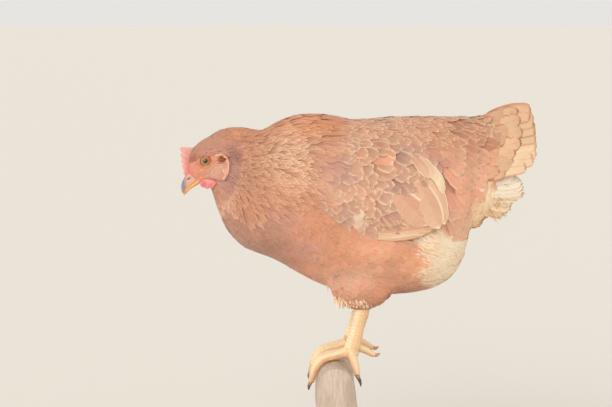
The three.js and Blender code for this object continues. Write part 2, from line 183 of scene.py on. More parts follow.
def outwards(obj):
    b = bmesh.new()
    b.from_mesh(obj.data)
    bmesh.ops.recalc_face_normals(b, faces=b.faces)
    if b.calc_volume(signed=True) < 0:
        bmesh.ops.reverse_faces(b, faces=b.faces)
    b.to_mesh(obj.data)
    b.free()


def points_of(obj):
    return read(obj.data.vertices, "co", 3).astype(float) / MM


def normals_of(obj):
    return read(obj.data.vertices, "normal", 3).astype(float)


def set_points(obj, points):
    obj.data.vertices.foreach_set("co", (points * MM).astype(np.float32).ravel())
    obj.data.update()


def relax(obj, rounds, strength, weight=None):
    """Moves each point towards the middle of its neighbours."""
    a, b = read(obj.data.edges, "vertices", 2, np.int32).T
    p = points_of(obj)
    count = np.maximum(np.bincount(np.concatenate([a, b]), minlength=len(p)), 1)[:, None]
    pull = strength if weight is None else strength * weight[:, None]
    for _ in range(rounds):
        total = np.zeros_like(p)
        for c in range(3):
            total[:, c] = np.bincount(a, p[b, c], len(p)) + np.bincount(b, p[a, c], len(p))
        p = p + pull * (total / count - p)
    set_points(obj, p)


def paint(obj, name, colours):
    """A colour for each point, in linear light."""
    layer = obj.data.color_attributes.new(name, "FLOAT_COLOR", "POINT")
    rgba = np.ones((len(colours), 4), np.float32)
    rgba[:, : colours.shape[1]] = colours
    layer.data.foreach_set("color", rgba.ravel())


def uv_from_points(obj, name, uv):
    """A UV map that gives each point one place."""
    loops = read(obj.data.loops, "vertex_index", kind=np.int32)
    layer = obj.data.uv_layers.new(name=name)
    layer.data.foreach_set("uv", uv[loops].astype(np.float32).ravel())


def fuse(name, parts, voxel):
    """Joins closed meshes into one skin of even quads, and removes the parts."""
    b = bmesh.new()
    for part in parts:
        b.from_mesh(part.data)
    mesh = bpy.data.meshes.new(name)
    b.to_mesh(mesh)
    b.free()
    rough = add(name + "_rough", mesh)
    remesh = rough.modifiers.new("remesh", "REMESH")
    remesh.mode = "VOXEL"
    remesh.voxel_size = voxel * MM
    made = bpy.data.meshes.new_from_object(rough.evaluated_get(bpy.context.evaluated_depsgraph_get()))
    made.name = name
    for obj in [rough, *parts]:
        bpy.data.objects.remove(obj)
    made.polygons.foreach_set("use_smooth", np.ones(len(made.polygons), bool))
    return add(name, made)


def copy_of_node(node, grow):
    """A welded copy of a CAD node's mesh, grown a little so that it meets its neighbours."""
    b = bmesh.new()
    b.from_mesh(NODES[node].data)
    bmesh.ops.remove_doubles(b, verts=b.verts, dist=2e-6)
    bmesh.ops.recalc_face_normals(b, faces=b.faces)
    b.normal_update()
    for v in b.verts:
        v.co += v.normal * grow * MM
    mesh = bpy.data.meshes.new("copy_" + node)
    b.to_mesh(mesh)
    b.free()
    return add("copy_" + node, mesh)


# ---------------------------------------------------------------- materials


class Shader:
    """A node material, built up by name."""

    def __init__(self, name):
        self.material = bpy.data.materials.new(name)
        self.material.use_nodes = True
        self.tree = self.material.node_tree
        self.main = self.tree.nodes["Principled BSDF"]

    def node(self, kind, inputs=None, **settings):
        made = self.tree.nodes.new(kind)
        for key, value in settings.items():
            setattr(made, key, value)
        for key, value in (inputs or {}).items():
            self.put(made.inputs[key], value)
        return made

    def put(self, socket, value):
        if isinstance(value, bpy.types.NodeSocket):
            self.tree.links.new(value, socket)
        elif hasattr(socket.default_value, "__len__") and len(socket.default_value) == 4 and len(value) == 3:
            socket.default_value = (*value, 1)
        else:
            socket.default_value = value

    def math(self, operation, a, b=None, clamp=False):
        made = self.node("ShaderNodeMath", operation=operation, use_clamp=clamp)
        self.put(made.inputs[0], a)
        if b is not None:
            self.put(made.inputs[1], b)
        return made.outputs[0]

    def blend(self, factor, a, b, kind="MIX"):
        made = self.node("ShaderNodeMix", data_type="RGBA", blend_type=kind)
        self.put(made.inputs[0], factor)
        self.put(made.inputs[6], a)
        self.put(made.inputs[7], b)
        return made.outputs[2]

    def ramp(self, value, low, high, to_low=0.0, to_high=1.0):
        made = self.node("ShaderNodeMapRange", interpolation_type="SMOOTHSTEP")
        for i, v in enumerate((value, low, high, to_low, to_high)):
            self.put(made.inputs[i], v)
        return made.outputs[0]

    def object_place(self, scale=(1, 1, 1)):
        place = self.node("ShaderNodeTexCoord").outputs["Object"]
        return self.node("ShaderNodeMapping", {"Vector": place, "Scale": scale}).outputs[0]

    def attribute(self, name):
        return self.node("ShaderNodeAttribute", attribute_name=name).outputs["Color"]

    def lit(self, colour, light):
        """A colour made lighter or darker by a number."""
        grey = self.node("ShaderNodeCombineColor", {0: light, 1: light, 2: light}).outputs[0]
        return self.blend(1.0, colour, grey, "MULTIPLY")

    def noise(self, place, scale, detail, rough=0.5):
        inputs = {"Vector": place, "Scale": scale, "Detail": detail, "Roughness": rough}
        return self.node("ShaderNodeTexNoise", inputs).outputs["Fac"]

    def bump(self, height, strength, distance):
        made = self.node("ShaderNodeBump", {"Height": height, "Strength": strength, "Distance": distance * MM})
        self.tree.links.new(made.outputs[0], self.main.inputs["Normal"])

    def set(self, **values):
        for key, value in values.items():
            self.put(self.main.inputs[key.replace("_", " ")], value)


def feather_material(name, barb_bump=0.5, rim_from=0.55, tip_from=0.86):
    """Vanes: a main colour, a pale or dark trim along shaft and edge, fine slanting barbs, and painted shade
    towards the root.
    """
    s = Shader(name)
    tint, trim, marks = (s.attribute(name) for name in ("tint", "trim", "marks"))
    shaft_mark, edge_mark, tip_mark = s.node("ShaderNodeSeparateColor", {0: marks}).outputs[:3]
    uv = s.node("ShaderNodeUVMap", uv_map="vane").outputs[0]
    u, v, _ = s.node("ShaderNodeSeparateXYZ", {0: uv}).outputs
    off = s.math("ABSOLUTE", s.math("SUBTRACT", s.math("MULTIPLY", u, 2.0), 1.0))
    # barbs run outwards and towards the tip, so their lines slant across each half of the vane
    slant = s.math("SUBTRACT", v, s.math("MULTIPLY", off, 0.22))
    wobble = s.math("MULTIPLY", s.noise(s.object_place(), 260, 3), 0.06)
    barbs = s.math("SINE", s.math("MULTIPLY", s.math("ADD", slant, wobble), 190.0))
    drawn_out = s.node("ShaderNodeCombineXYZ", {0: s.math("MULTIPLY", slant, 26.0), 1: u}).outputs[0]
    coarse = s.noise(drawn_out, 1.0, 2)
    shaft = s.math("MULTIPLY", s.ramp(off, 0.14, 0.02), shaft_mark)
    rim = s.math("MAXIMUM", s.ramp(off, rim_from, 1.0), s.ramp(v, tip_from, 1.0))
    rim = s.math("MULTIPLY", rim, edge_mark)
    tip = s.math("MULTIPLY", s.ramp(v, 0.45, 1.0), tip_mark)
    pale = s.math("ADD", s.math("ADD", shaft, rim), tip, clamp=True)
    colour = s.blend(pale, tint, trim)
    light = s.math("ADD", s.math("MULTIPLY", barbs, 0.025), s.math("MULTIPLY", coarse, 0.24))
    light = s.math("ADD", light, 0.9)
    # painted shade: each vane darker towards its root, where the feathers above cover it
    light = s.math("MULTIPLY", light, s.ramp(v, 0.0, 0.5, 0.92, 1.0))
    s.set(Base_Color=s.lit(colour, light), Roughness=0.72, Sheen_Weight=0.15, Sheen_Roughness=0.5)
    s.set(Specular_IOR_Level=0.28)
    height = s.math("ADD", s.math("MULTIPLY", barbs, 0.5), s.math("MULTIPLY", coarse, 1.2))
    s.bump(height, barb_bump, 0.06)
    return s.material


def painted_material(name, rough, bump_size, bump_depth, spots, subsurface, coat=0.0, specular=0.5):
    """A surface whose main colours are painted on its points, broken up by fine noise."""
    s = Shader(name)
    place = s.object_place()
    fine = s.noise(place, 1000 / bump_size, 4, 0.6)
    large = s.noise(place, 260 / bump_size, 2)
    level = s.math("ADD", s.math("MULTIPLY", s.math("ADD", fine, large), spots), 1.0 - spots)
    s.set(Base_Color=s.lit(s.attribute("tint"), level), Roughness=rough, Specular_IOR_Level=specular)
    s.set(Subsurface_Weight=subsurface, Subsurface_Radius=(0.9, 0.35, 0.2), Subsurface_Scale=0.002)
    s.set(Coat_Weight=coat, Coat_Roughness=0.15)
    s.bump(s.math("ADD", fine, s.math("MULTIPLY", large, 0.6)), 0.6, bump_depth)
    return s.material


# ---------------------------------------------------------------- the head's own frame

EYE_LINE = np.array([-150.0, 0.0, 359.5])
PITCH = math.radians(38)
COS, SIN = math.cos(PITCH), math.sin(PITCH)
HEAD_AXES = np.array([[-COS, 0, -SIN], [0, 1, 0], [-SIN, 0, COS]])


def from_head(p):
    """From head places (forwards, sideways, up) about the eyes to the model's frame."""
    return EYE_LINE + np.asarray(p, float) @ HEAD_AXES


def to_head(p):
    return (np.asarray(p, float) - EYE_LINE) @ HEAD_AXES.T


EYE = {"at": (-1.2, 0.4), "radius": 6.5, "out": 10.0, "long": 4.3, "tall": 3.7}


# ---------------------------------------------------------------- the skin

TAIL_CORE = [
    # x, top, bottom, half width, widest place
    [148, 410, 252, 42, 0.6],
    [156, 409.5, 281, 35, 0.62],
    [168, 411, 288.5, 30, 0.58],
    [182, 413, 299, 22, 0.56],
    [192, 412, 314, 12, 0.55],
    [197, 404, 328, 5, 0.5],
]


HEAD_ROWS = [
    # forwards, top, bottom, half width, widest place
    [-44, 13, -24, 19, 0.5],
    [-32, 19.5, -30, 20, 0.5],
    [-20, 22, -31, 18.6, 0.48],
    [-8, 22.5, -29, 16.8, 0.45],
    [2, 20.5, -26, 14.8, 0.45],
    [10, 16.5, -22.5, 12.6, 0.45],
    [18, 11, -19, 10.2, 0.42],
    [25, 4.5, -16.6, 8, 0.42],
    [29.5, 0.2, -15.4, 6.4, 0.42],
]


def ovals(rows, count, sides):
    """Upright ovals strung along x, from rows [x, top, bottom, half width, widest place]."""
    x = np.linspace(rows[0][0], rows[-1][0], count)
    top, bottom, wide, widest = along(rows, x)
    turn = circle(sides)
    middle = bottom + (top - bottom) * widest
    reach = np.where(np.sin(turn) > 0, (top - middle)[:, None], (middle - bottom)[:, None])
    rings = np.empty((count, sides, 3))
    rings[..., 0] = x[:, None]
    rings[..., 1] = wide[:, None] * np.cos(turn)
    rings[..., 2] = middle[:, None] + reach * np.sin(turn)
    return rings


def forward(p):
    """How far forward a place is in the head, falling off quickly outside the head."""
    q = to_head(p)
    return q[:, 0] - 4 * (np.linalg.norm(q, axis=1) - 42).clip(0)


def coat_depth(p):
    """How far the skin lies inside the plumage's outer form."""
    f = forward(p)
    x, _, z = p.T
    depth = mix(1.0, 3.0, step(-20, -90, f))
    depth = depth + 1.7 * step(21, 28, f)
    depth = depth + 1.6 * step(95, 120, x) * step(290, 270, z)
    return mix(depth, 2.2, step(212, 200, z))


FLESH = ["head", "neck", "trunk", "wing_left", "wing_right", "thigh_left", "thigh_right"]
head_form = loft("head_form", from_head(ovals(HEAD_ROWS, 40, 48)))
core = loft("tail_core", ovals(TAIL_CORE, 24, 40))
form = fuse("plumage_form", [copy_of_node(n, 0.25) for n in FLESH] + [head_form, core], 2.4)
relax(form, 14, 0.6)
x, y, z = points_of(form).T
crease = bump_at(z, 209, 9) * step(85, 60, np.abs(x - 30)) * step(70, 55, np.abs(y))
relax(form, 30, 0.6, crease)


def reshape(p, n):
    """Evens out what the relaxing took from the head, and ends the thighs where the shanks' bare part starts."""
    f, _, h = to_head(p).T
    swell = 1.7 * bump_at(f, 5, 9) * step(5, 11, h) - 1.4 * bump_at(f, -22, 8) * step(10, 16, h)
    p = p + n * (swell * step(-48, -36, forward(p)))[:, None]
    p[:, 2] += 1.5 * step(203, 190, p[:, 2])
    return p


set_points(form, reshape(points_of(form), normals_of(form)))
skin = add("skin", form.data.copy())
skin.data.name = "skin"
set_points(skin, points_of(skin) - normals_of(skin) * coat_depth(points_of(skin))[:, None])
relax(skin, 6, 0.5, step(-18, -30, forward(points_of(skin))))


def refine(obj, wanted):
    """Splits the faces whose middle is wanted."""
    b = bmesh.new()
    b.from_mesh(obj.data)
    chosen = [f for f in b.faces if wanted(np.array(f.calc_center_median()) / MM)]
    edges = {e for f in chosen for e in f.edges}
    bmesh.ops.subdivide_edges(b, edges=list(edges), cuts=1, use_grid_fill=True)
    b.to_mesh(obj.data)
    b.free()
    obj.data.polygons.foreach_set("use_smooth", np.ones(len(obj.data.polygons), bool))


def near_eye(p):
    f, y, h = to_head(p)
    return abs(y) > 6 and math.hypot(f - EYE["at"][0], h - EYE["at"][1]) < 8


refine(skin, lambda p: forward(p[None])[0] > -27)
refine(skin, lambda p: forward(p[None])[0] > -25 and to_head(p)[2] < 9)
refine(skin, near_eye)
relax(skin, 8, 0.5, step(-34, -24, forward(points_of(skin))))

FOLD = np.array([[-15, -2.6], [-20.6, -5], [-22.6, -11], [-20.2, -18.6], [-13.8, -25.9], [-5, -29.6]], float)
GAPE = np.array([[27, -11.6], [20, -12.3], [14, -13.6], [8.5, -15.3]], float)


def from_line(f, h, line):
    """Distance of head places (f, h) from a bent line."""
    best = np.full(np.shape(f), 1e9)
    for (f0, h0), (f1, h1) in zip(line[:-1], line[1:]):
        df, dh = f1 - f0, h1 - h0
        t = np.clip(((f - f0) * df + (h - h0) * dh) / (df * df + dh * dh), 0, 1)
        best = np.minimum(best, np.hypot(f - f0 - t * df, h - h0 - t * dh))
    return best


def carve_face(p):
    """The head's folds, lids, brow and ear, pushed out of the smooth form along its sides."""
    q = to_head(p)
    f, y, h = q.T
    side = np.sign(y)
    out = np.abs(y)
    weight = step(3, 8, out) * step(-30, -24, f)
    lift = 0.9 * bump_at(from_line(f, h, np.array([[7, 4.5], [0, 6.2], [-9, 5.0]])), 0, 1.8)
    lift -= 0.8 * spot(q, 10, -1, 4, 4)
    lift -= 0.9 * spot(q, -14, -10, 3.2, 2.6)
    from_fold, from_gape = from_line(f, h, FOLD), from_line(f, h, GAPE)
    lift += 1.7 * bump_at(from_fold, 0, 1.5) - 0.7 * bump_at(from_fold, 3.2, 1.2)
    lift += 0.5 * bump_at(from_gape, 0, 1.6) - 0.9 * bump_at(from_gape, 0, 0.5)
    f, h = f - EYE["at"][0], h - EYE["at"][1]
    around = np.hypot(f, h)
    lift += 0.13 * np.sin(around * 2.6 + 1.5 * np.sin(2 * np.arctan2(h, f))) * step(5, 7, around)
    lift += 0.22 * waves(q, 2.2, 3) + 0.12 * waves(q * [1, 1, 1.6], 0.9, 4)
    out = out + weight * lift
    ball = EYE["out"] + np.sqrt(np.maximum(EYE["radius"] ** 2 - around**2, 0.5))
    rho = np.hypot(f / EYE["long"], (h - 0.06 * f) / EYE["tall"])
    lid = ball + 0.5 + 0.25 * np.sin(math.pi * np.clip((rho - 1) / 0.3, 0, 1))
    lid = np.where(rho < 1.6, lid, EYE["out"] + 5.2)
    furrow = -0.3 * bump_at(rho, 1.5, 0.12) + 0.2 * bump_at(rho, 1.75, 0.12) - 0.15 * bump_at(rho, 2.0, 0.1)
    blended = mix(lid, out, step(1.25, 2.6, rho)) + furrow * step(1.2, 1.4, rho)
    blended = mix(ball - 1.4, blended, step(0.93, 1.04, rho))
    near = step(3.0, 2.4, rho) * (np.abs(y) > 4)
    out = mix(out, blended, near)
    q[:, 1] = side * out
    return from_head(q)


in_head = forward(points_of(skin)) > -32
moved = points_of(skin)
moved[in_head] = carve_face(moved[in_head])
set_points(skin, moved)

RUST = srgb(202, 122, 80)
MAUVE = srgb(180, 134, 118)
ROSE = srgb(218, 154, 126)
BUFF = srgb(242, 204, 168)
CREAM = srgb(250, 226, 190)
WHITE = srgb(252, 240, 218)
PEACH = srgb(234, 198, 160)
EDGED = srgb(196, 126, 90)


def bare_face(p):
    """1 on the bare skin of the face, 0 where the head is feathered."""
    f, _, h = to_head(p).T
    crown = np.interp(f, [-24, -12, 3, 10, 17, 26], [-6.5, 2.0, 6.6, 8.2, 10, 7])
    rear = np.interp(h, [-30, -26, -18, -11, -5, -2, 2], [-7, -15, -21.8, -24.2, -23, -18, -14])
    low = np.interp(f, [-22, -12, -4, 4, 9, 20, 30], [-20, -27.5, -30, -22, -19, -19, -18])
    return step(crown + 0.7, crown - 0.7, h) * step(rear - 0.7, rear + 0.7, f) * step(low - 1, low + 1, h)


# Soft lighter, darker, warmer and cooler places of the plumage.
TONES = [
    # x, z, reach along x and z, times red, green, blue
    (22, 270, 46, 24, 1.24, 1.50, 1.72),  # under the wing
    (-45, 271, 28, 16, 0.81, 0.95, 1.23),  # low breast
    (6, 239, 40, 14, 0.98, 1.20, 1.36),  # belly
    (-48, 345, 32, 12, 1.04, 1.18, 1.38),  # lowest hackles
    (-70, 309, 40, 14, 1.0, 1.06, 1.28),  # breast
    (-28, 300, 20, 17, 0.90, 0.97, 1.06),  # side of the breast
    (-103, 374, 28, 24, 0.86, 0.87, 0.95),  # side of the neck
    # next: painted shade along the lower edge of the wing
    (38, 312, 18, 9, 0.82, 0.76, 0.80),  # lower edge of the wing
    # next: painted shade behind the cheek
    (-114, 343, 15, 12, 0.78, 0.80, 0.92),  # behind the cheek
    (22, 380, 24, 11, 1.15, 1.05, 0.94),  # shoulder
    (52, 346, 18, 12, 0.86, 0.82, 0.90),  # middle of the wing
    (137, 301, 20, 20, 1.13, 1.20, 1.15),  # side of the rump
    (174, 319, 11, 18, 1.05, 1.23, 1.40),  # under the tail
    (179, 394, 13, 15, 1.20, 1.24, 1.18),  # foot of the tail
]
HACKLE_EDGE = [[-145, 321], [-110, 300], [-80, 303], [-50, 316], [-20, 333], [0, 358], [14, 398], [20, 430]]
WING_EDGE = [
    # x, upper edge, lower edge
    [-45, 364, 341],
    [-36, 379, 323],
    [-18, 389, 309],
    [4, 393, 295],
    [30, 392, 283],
    [60, 387, 275.5],
    [88, 378, 275],
    [110, 362, 278],
    [124, 343, 281],
    [132, 320, 286],
]


def hackle_share(p):
    x, _, z = p.T
    low = np.interp(x, *np.array(HACKLE_EDGE, float).T) + 5 * waves(p, 14, 61)
    return step(low - 12, low + 14, z) * step(-6, -22, x + 7 * waves(p, 13, 62))


def wing_share(p):
    x, _, z = p.T
    upper, lower = along(WING_EDGE, x)
    inside = step(lower - 5, lower + 5, z) * step(upper + 6, upper - 8, z)
    return inside * step(-48, -34, x) * step(136, 126, x)


def rump_share(p):
    """1 on the large coverts between the wing and the tail."""
    x, _, z = p.T
    return step(110, 122, x) * step(276, 288, z)


def back_share(p):
    x, _, z = p.T
    return step(-30, -8, x) * step(378, 392, z) * step(165, 140, x)


def coat_colour(p):
    """The plumage's main colour at places p, the same for skin and feathers."""
    x, _, z = p.T
    grain = waves(p, 24, 21)[:, None]
    patch = (0.5 + 0.7 * waves(p, 50, 22)).clip(0, 1)[:, None]
    colour = mix(RUST, mix(RUST, ROSE, 0.7), patch) * (1 + 0.05 * grain)
    breast = step(-40, -90, x) * step(330, 300, z)
    colour = over(colour, mix(RUST, MAUVE, 0.48 + 0.4 * patch) * 0.83, breast)
    belly = step(262, 235, z) * step(-60, -10, x)
    colour = over(colour, mix(mix(RUST, ROSE, 0.7 + 0.25 * grain), MAUVE, 0.3 * patch) * 0.96, 0.8 * belly)
    # painted shade: the lowest part of the body, from mid-belly back, darker
    colour = colour * (1 - 0.26 * step(226, 206, z) * step(-10, 20, x))[:, None]
    flank = spot(p, 88, 245, 26, 24)
    colour = over(colour, srgb(246, 176, 134), 0.85 * flank)
    neck = mix(RUST * 0.82, MAUVE * 0.84, (0.25 + 0.4 * patch) * step(405, 375, z)[:, None])
    colour = over(colour, neck, hackle_share(p))
    head = step(-58, -14, forward(p))
    colour = over(colour, mix(MAUVE, ROSE, 0.25), 0.85 * head)
    over_wing = step(20, 50, x) * step(338, 356, z)
    colour = over(colour, mix(ROSE, MAUVE, 0.4 + 0.15 * patch) * 0.97, over_wing)
    colour = over(colour, mix(RUST, MAUVE, 0.25 + 0.3 * patch) * 0.84, back_share(p))
    dark = (0.5 + 0.9 * waves(p, 20, 23)).clip(0, 1)[:, None]
    colour = over(colour, mix(ROSE, MAUVE, 0.35 + 0.65 * dark) * 0.88, 0.95 * wing_share(p))
    wing_front, wing_shadow = spot(p, -15, 363, 16, 9), spot(p, 56, 284, 17, 6)
    colour = over(colour, srgb(174, 145, 141), 0.5 * wing_front)
    colour = over(colour, srgb(124, 74, 54), 0.6 * wing_shadow)
    rump = over(mix(ROSE, MAUVE, 0.4 * dark) * 1.16, mix(RUST, MAUVE, 0.45) * 0.82, step(366, 392, z))
    colour = over(colour, rump, rump_share(p))
    colour = over(colour, mix(PEACH, ROSE, 0.4 * dark), step(150, 190, x) * step(310, 325, z))
    under_tail = np.maximum(step(138, 156, x) * step(326, 306, z), step(147, 158, x) * step(346, 334, z))
    colour = over(colour, mix(PEACH, CREAM, 0.4), 0.85 * under_tail)
    for x0, z0, long, tall, *gain in TONES:
        colour = colour * (1 + (np.array(gain) - 1) * spot(p, x0, z0, long, tall)[:, None])
    white_spot = spot(p, 9, 312, 7, 7)
    colour = over(colour, WHITE, 0.9 * white_spot)
    # painted shade: a dark patch behind the cheek, at the ear's fold
    shade_behind_cheek, brow = spot(to_head(p), -27.5, -11, 5, 9), spot(to_head(p), 11, 10, 5, 5)
    colour = over(colour, srgb(122, 88, 84), 0.75 * shade_behind_cheek)
    colour = over(colour, srgb(176, 104, 76), 0.7 * brow)
    blotch = (0.25 + 0.8 * waves(p, 15, 35)).clip(0, 1)[:, None]
    return over(colour, mix(CREAM, srgb(244, 190, 146), 0.6 * blotch), fluff_share(p))


def fluff_share(p):
    """1 in the cream fluff behind the legs."""
    x, _, z = p.T
    edge = np.interp(z, [196, 215, 240, 262, 280, 292], [104, 96, 92, 91, 94, 114]) + 9 * waves(p, 12, 33)
    top = np.interp(x, [90, 120, 150, 165], [288, 290, 288, 284]) + 3 * waves(p, 12, 34)
    return step(edge - 20, edge + 14, x) * step(top + 7, top - 7, z)


def skin_colour(p):
    f, _, h = to_head(p).T
    red = srgb(222, 148, 122) * (1 + 0.1 * waves(p, 3, 41)[:, None] + 0.08 * waves(p, 1.1, 42)[:, None])
    around = np.hypot(f - EYE["at"][0], h - EYE["at"][1])
    red = over(red, srgb(224, 154, 112), step(10, 5, around))
    red = over(red, srgb(190, 126, 90), 0.5 * step(5.2, 4.2, around))
    cheek = step(-8, -12.5, h) * step(16, 8, f) * step(-22, -16, f)
    red = over(red, srgb(206, 152, 130), 0.85 * cheek)
    red = over(red, srgb(240, 190, 166), 0.9 * bump_at(from_line(f, h, FOLD), 0, 2.0))
    red = over(red, srgb(240, 184, 138), 0.9 * bump_at(from_line(f, h, GAPE), 0, 1.4))
    red = over(red, srgb(228, 132, 120), step(16, 22, f) * step(-8, 0, h))
    # the skin under the plumage takes the coat's colour, darkened as painted shade for the depths between the
    # feathers
    return over(coat_colour(p) * 0.85, red * 0.93, bare_face(p))


paint(skin, "tint", skin_colour(points_of(skin)))
skin.data.materials.clear()
skin.data.materials.append(painted_material("bare_skin", 0.5, 1.0, 0.12, 0.22, 0.12, specular=0.4))
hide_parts(*FLESH)
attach(skin, "root")

# ---------------------------------------------------------------- the lie of the plumage

FLOW = np.array([
    # x, z, degrees above straight back
    [-160, 375, 38], [-172, 360, 30], [-135, 352, -20], [-140, 325, -50], [-112, 395, 5], [-90, 350, -18],
    [-60, 397, -3], [-120, 285, -60], [-80, 265, -35], [-40, 240, -28], [20, 215, -8], [80, 208, 5],
    [30, 255, -20], [80, 245, -25], [125, 250, -30], [120, 222, -10], [50, 400, -8], [110, 395, -12],
    [140, 370, -30], [140, 330, -45], [165, 395, 15], [160, 300, -15], [185, 350, -5], [-20, 345, -28],
    [20, 335, -42], [60, 335, -50], [100, 350, -55], [60, 295, -40], [105, 305, -50], [30, 196, -75],
])


def lie(p):
    """The way feathers rooted at p point, before they are laid on the surface."""
    x, _, z = p.T
    near = 1 / ((x[:, None] - FLOW[:, 0]) ** 2 + (z[:, None] - FLOW[:, 1]) ** 2 + 40) ** 1.4
    turn = np.radians(FLOW[:, 2])
    return unit(np.stack([near @ np.cos(turn), np.zeros(len(p)), near @ np.sin(turn)], -1))


def flat_on(way, normal):
    return unit(way - (way * normal).sum(-1, keepdims=True) * normal)


class Surface:
    """A mesh to lay feathers on: its nearest places, smooth normals and triangles."""

    def __init__(self, obj):
        mesh = obj.data
        mesh.calc_loop_triangles()
        self.tris = read(mesh.loop_triangles, "vertices", 3, np.int32)
        self.points = points_of(obj)
        self.face_normals = unit(normals_of(obj)[self.tris].sum(1))
        self.tree = BVHTree.FromPolygons((self.points * MM).tolist(), self.tris.tolist())

    def nearest(self, p):
        found = [self.tree.find_nearest(Vector(q)) for q in (p * MM).tolist()]
        return np.array([f[0] for f in found]) / MM, self.face_normals[[f[2] for f in found]]

    def from_side(self, x, z, side):
        hit = self.tree.ray_cast(Vector((x, side * 300, z)) * MM, Vector((0, -side, 0)))
        return np.array(hit[0]) / MM

    def scatter(self, spacing_at, made):
        """Places strewn evenly, about spacing_at(places) apart."""
        corners = self.points[self.tris]
        first, second = (corners[:, i] - corners[:, 0] for i in (1, 2))
        area = np.linalg.norm(np.cross(first, second), axis=1) / 2
        spacing = spacing_at(corners.mean(1))
        count = made.poisson(area * 4 / spacing**2)
        chosen = np.repeat(np.arange(len(area)), count)
        a, b = np.sqrt(made.random(len(chosen)))[:, None], made.random(len(chosen))[:, None]
        p = corners[chosen, 0] * (1 - a) + corners[chosen, 1] * a * (1 - b) + corners[chosen, 2] * a * b
        reach = np.minimum(spacing_at(p), 8)
        tree = KDTree(len(p))
        for i, q in enumerate(p.tolist()):
            tree.insert(q, i)
        tree.balance()
        free = np.ones(len(p), bool)
        kept = []
        for i in made.permutation(len(p)):
            if free[i]:
                kept.append(i)
                free[[j for _, j, _ in tree.find_range(p[i], reach[i])]] = False
        return p[kept]


def run_along(surface, root, way, length, rows, turn_limit, last_way):
    """Lines over the surface from each root, which may bend towards last_way. A line goes straight on once the
    surface has turned away from it."""
    p, n = surface.nearest(root)
    first, way = n, flat_on(way, n)
    places, normals = [p], [n]
    free = np.zeros((len(p), 1), bool)
    for k in range(1, rows):
        ahead = p + way * (length / (rows - 1))[:, None]
        q, m = surface.nearest(ahead)
        free = free | ((first * m).sum(1, keepdims=True) < turn_limit)
        p, n = np.where(free, ahead, q), np.where(free, n, m)
        if last_way is not None:
            way = unit(way + (last_way - way) * 1.6 / (rows - k + 1))
        way = np.where(free, way, flat_on(way, n))
        places.append(p)
        normals.append(n)
    return np.stack(places, 1), np.stack(normals, 1)


def unwrap(p):
    """Where a root lies on an unwrap of the skin: along the body, and round it."""
    x, y, z = p.T
    middle = np.interp(x, [-190, -150, -117, -60, 0, 120, 160, 230], [340, 362, 335, 325, 310, 315, 350, 365])
    round_body = np.arctan2(y, middle - z) / (2 * math.pi) + 0.5
    leg = z < 203
    along_body = np.where(leg, 0.93 + (z - 186) / 400, 0.02 + (x + 195) / 480)
    return np.stack([along_body, round_body], -1)


def shares(rows):
    """Places along a feather from 0 to 1, closer together towards its tip."""
    return 1 - (1 - np.linspace(0, 1, rows)) ** 1.6


# Each shape gives half the width along a feather, from root to tip, as a share of the widest.
SHAPES = {
    "round": [[0, 0.15], [0.12, 0.5], [0.4, 0.88], [0.65, 1], [0.8, 0.92], [0.9, 0.7], [0.96, 0.44], [1, 0.1]],
    "long": [[0, 0.12], [0.15, 0.55], [0.45, 0.95], [0.8, 1], [0.93, 0.78], [0.985, 0.4], [1, 0.1]],
    "lance": [[0, 0.2], [0.2, 0.75], [0.5, 1], [0.75, 0.86], [0.92, 0.45], [1, 0.06]],
    "blunt": [[0, 0.12], [0.15, 0.55], [0.45, 0.95], [0.8, 1], [0.93, 0.95], [0.975, 0.78], [1, 0.3]],
}


PIECE_TRIANGLES = 190000


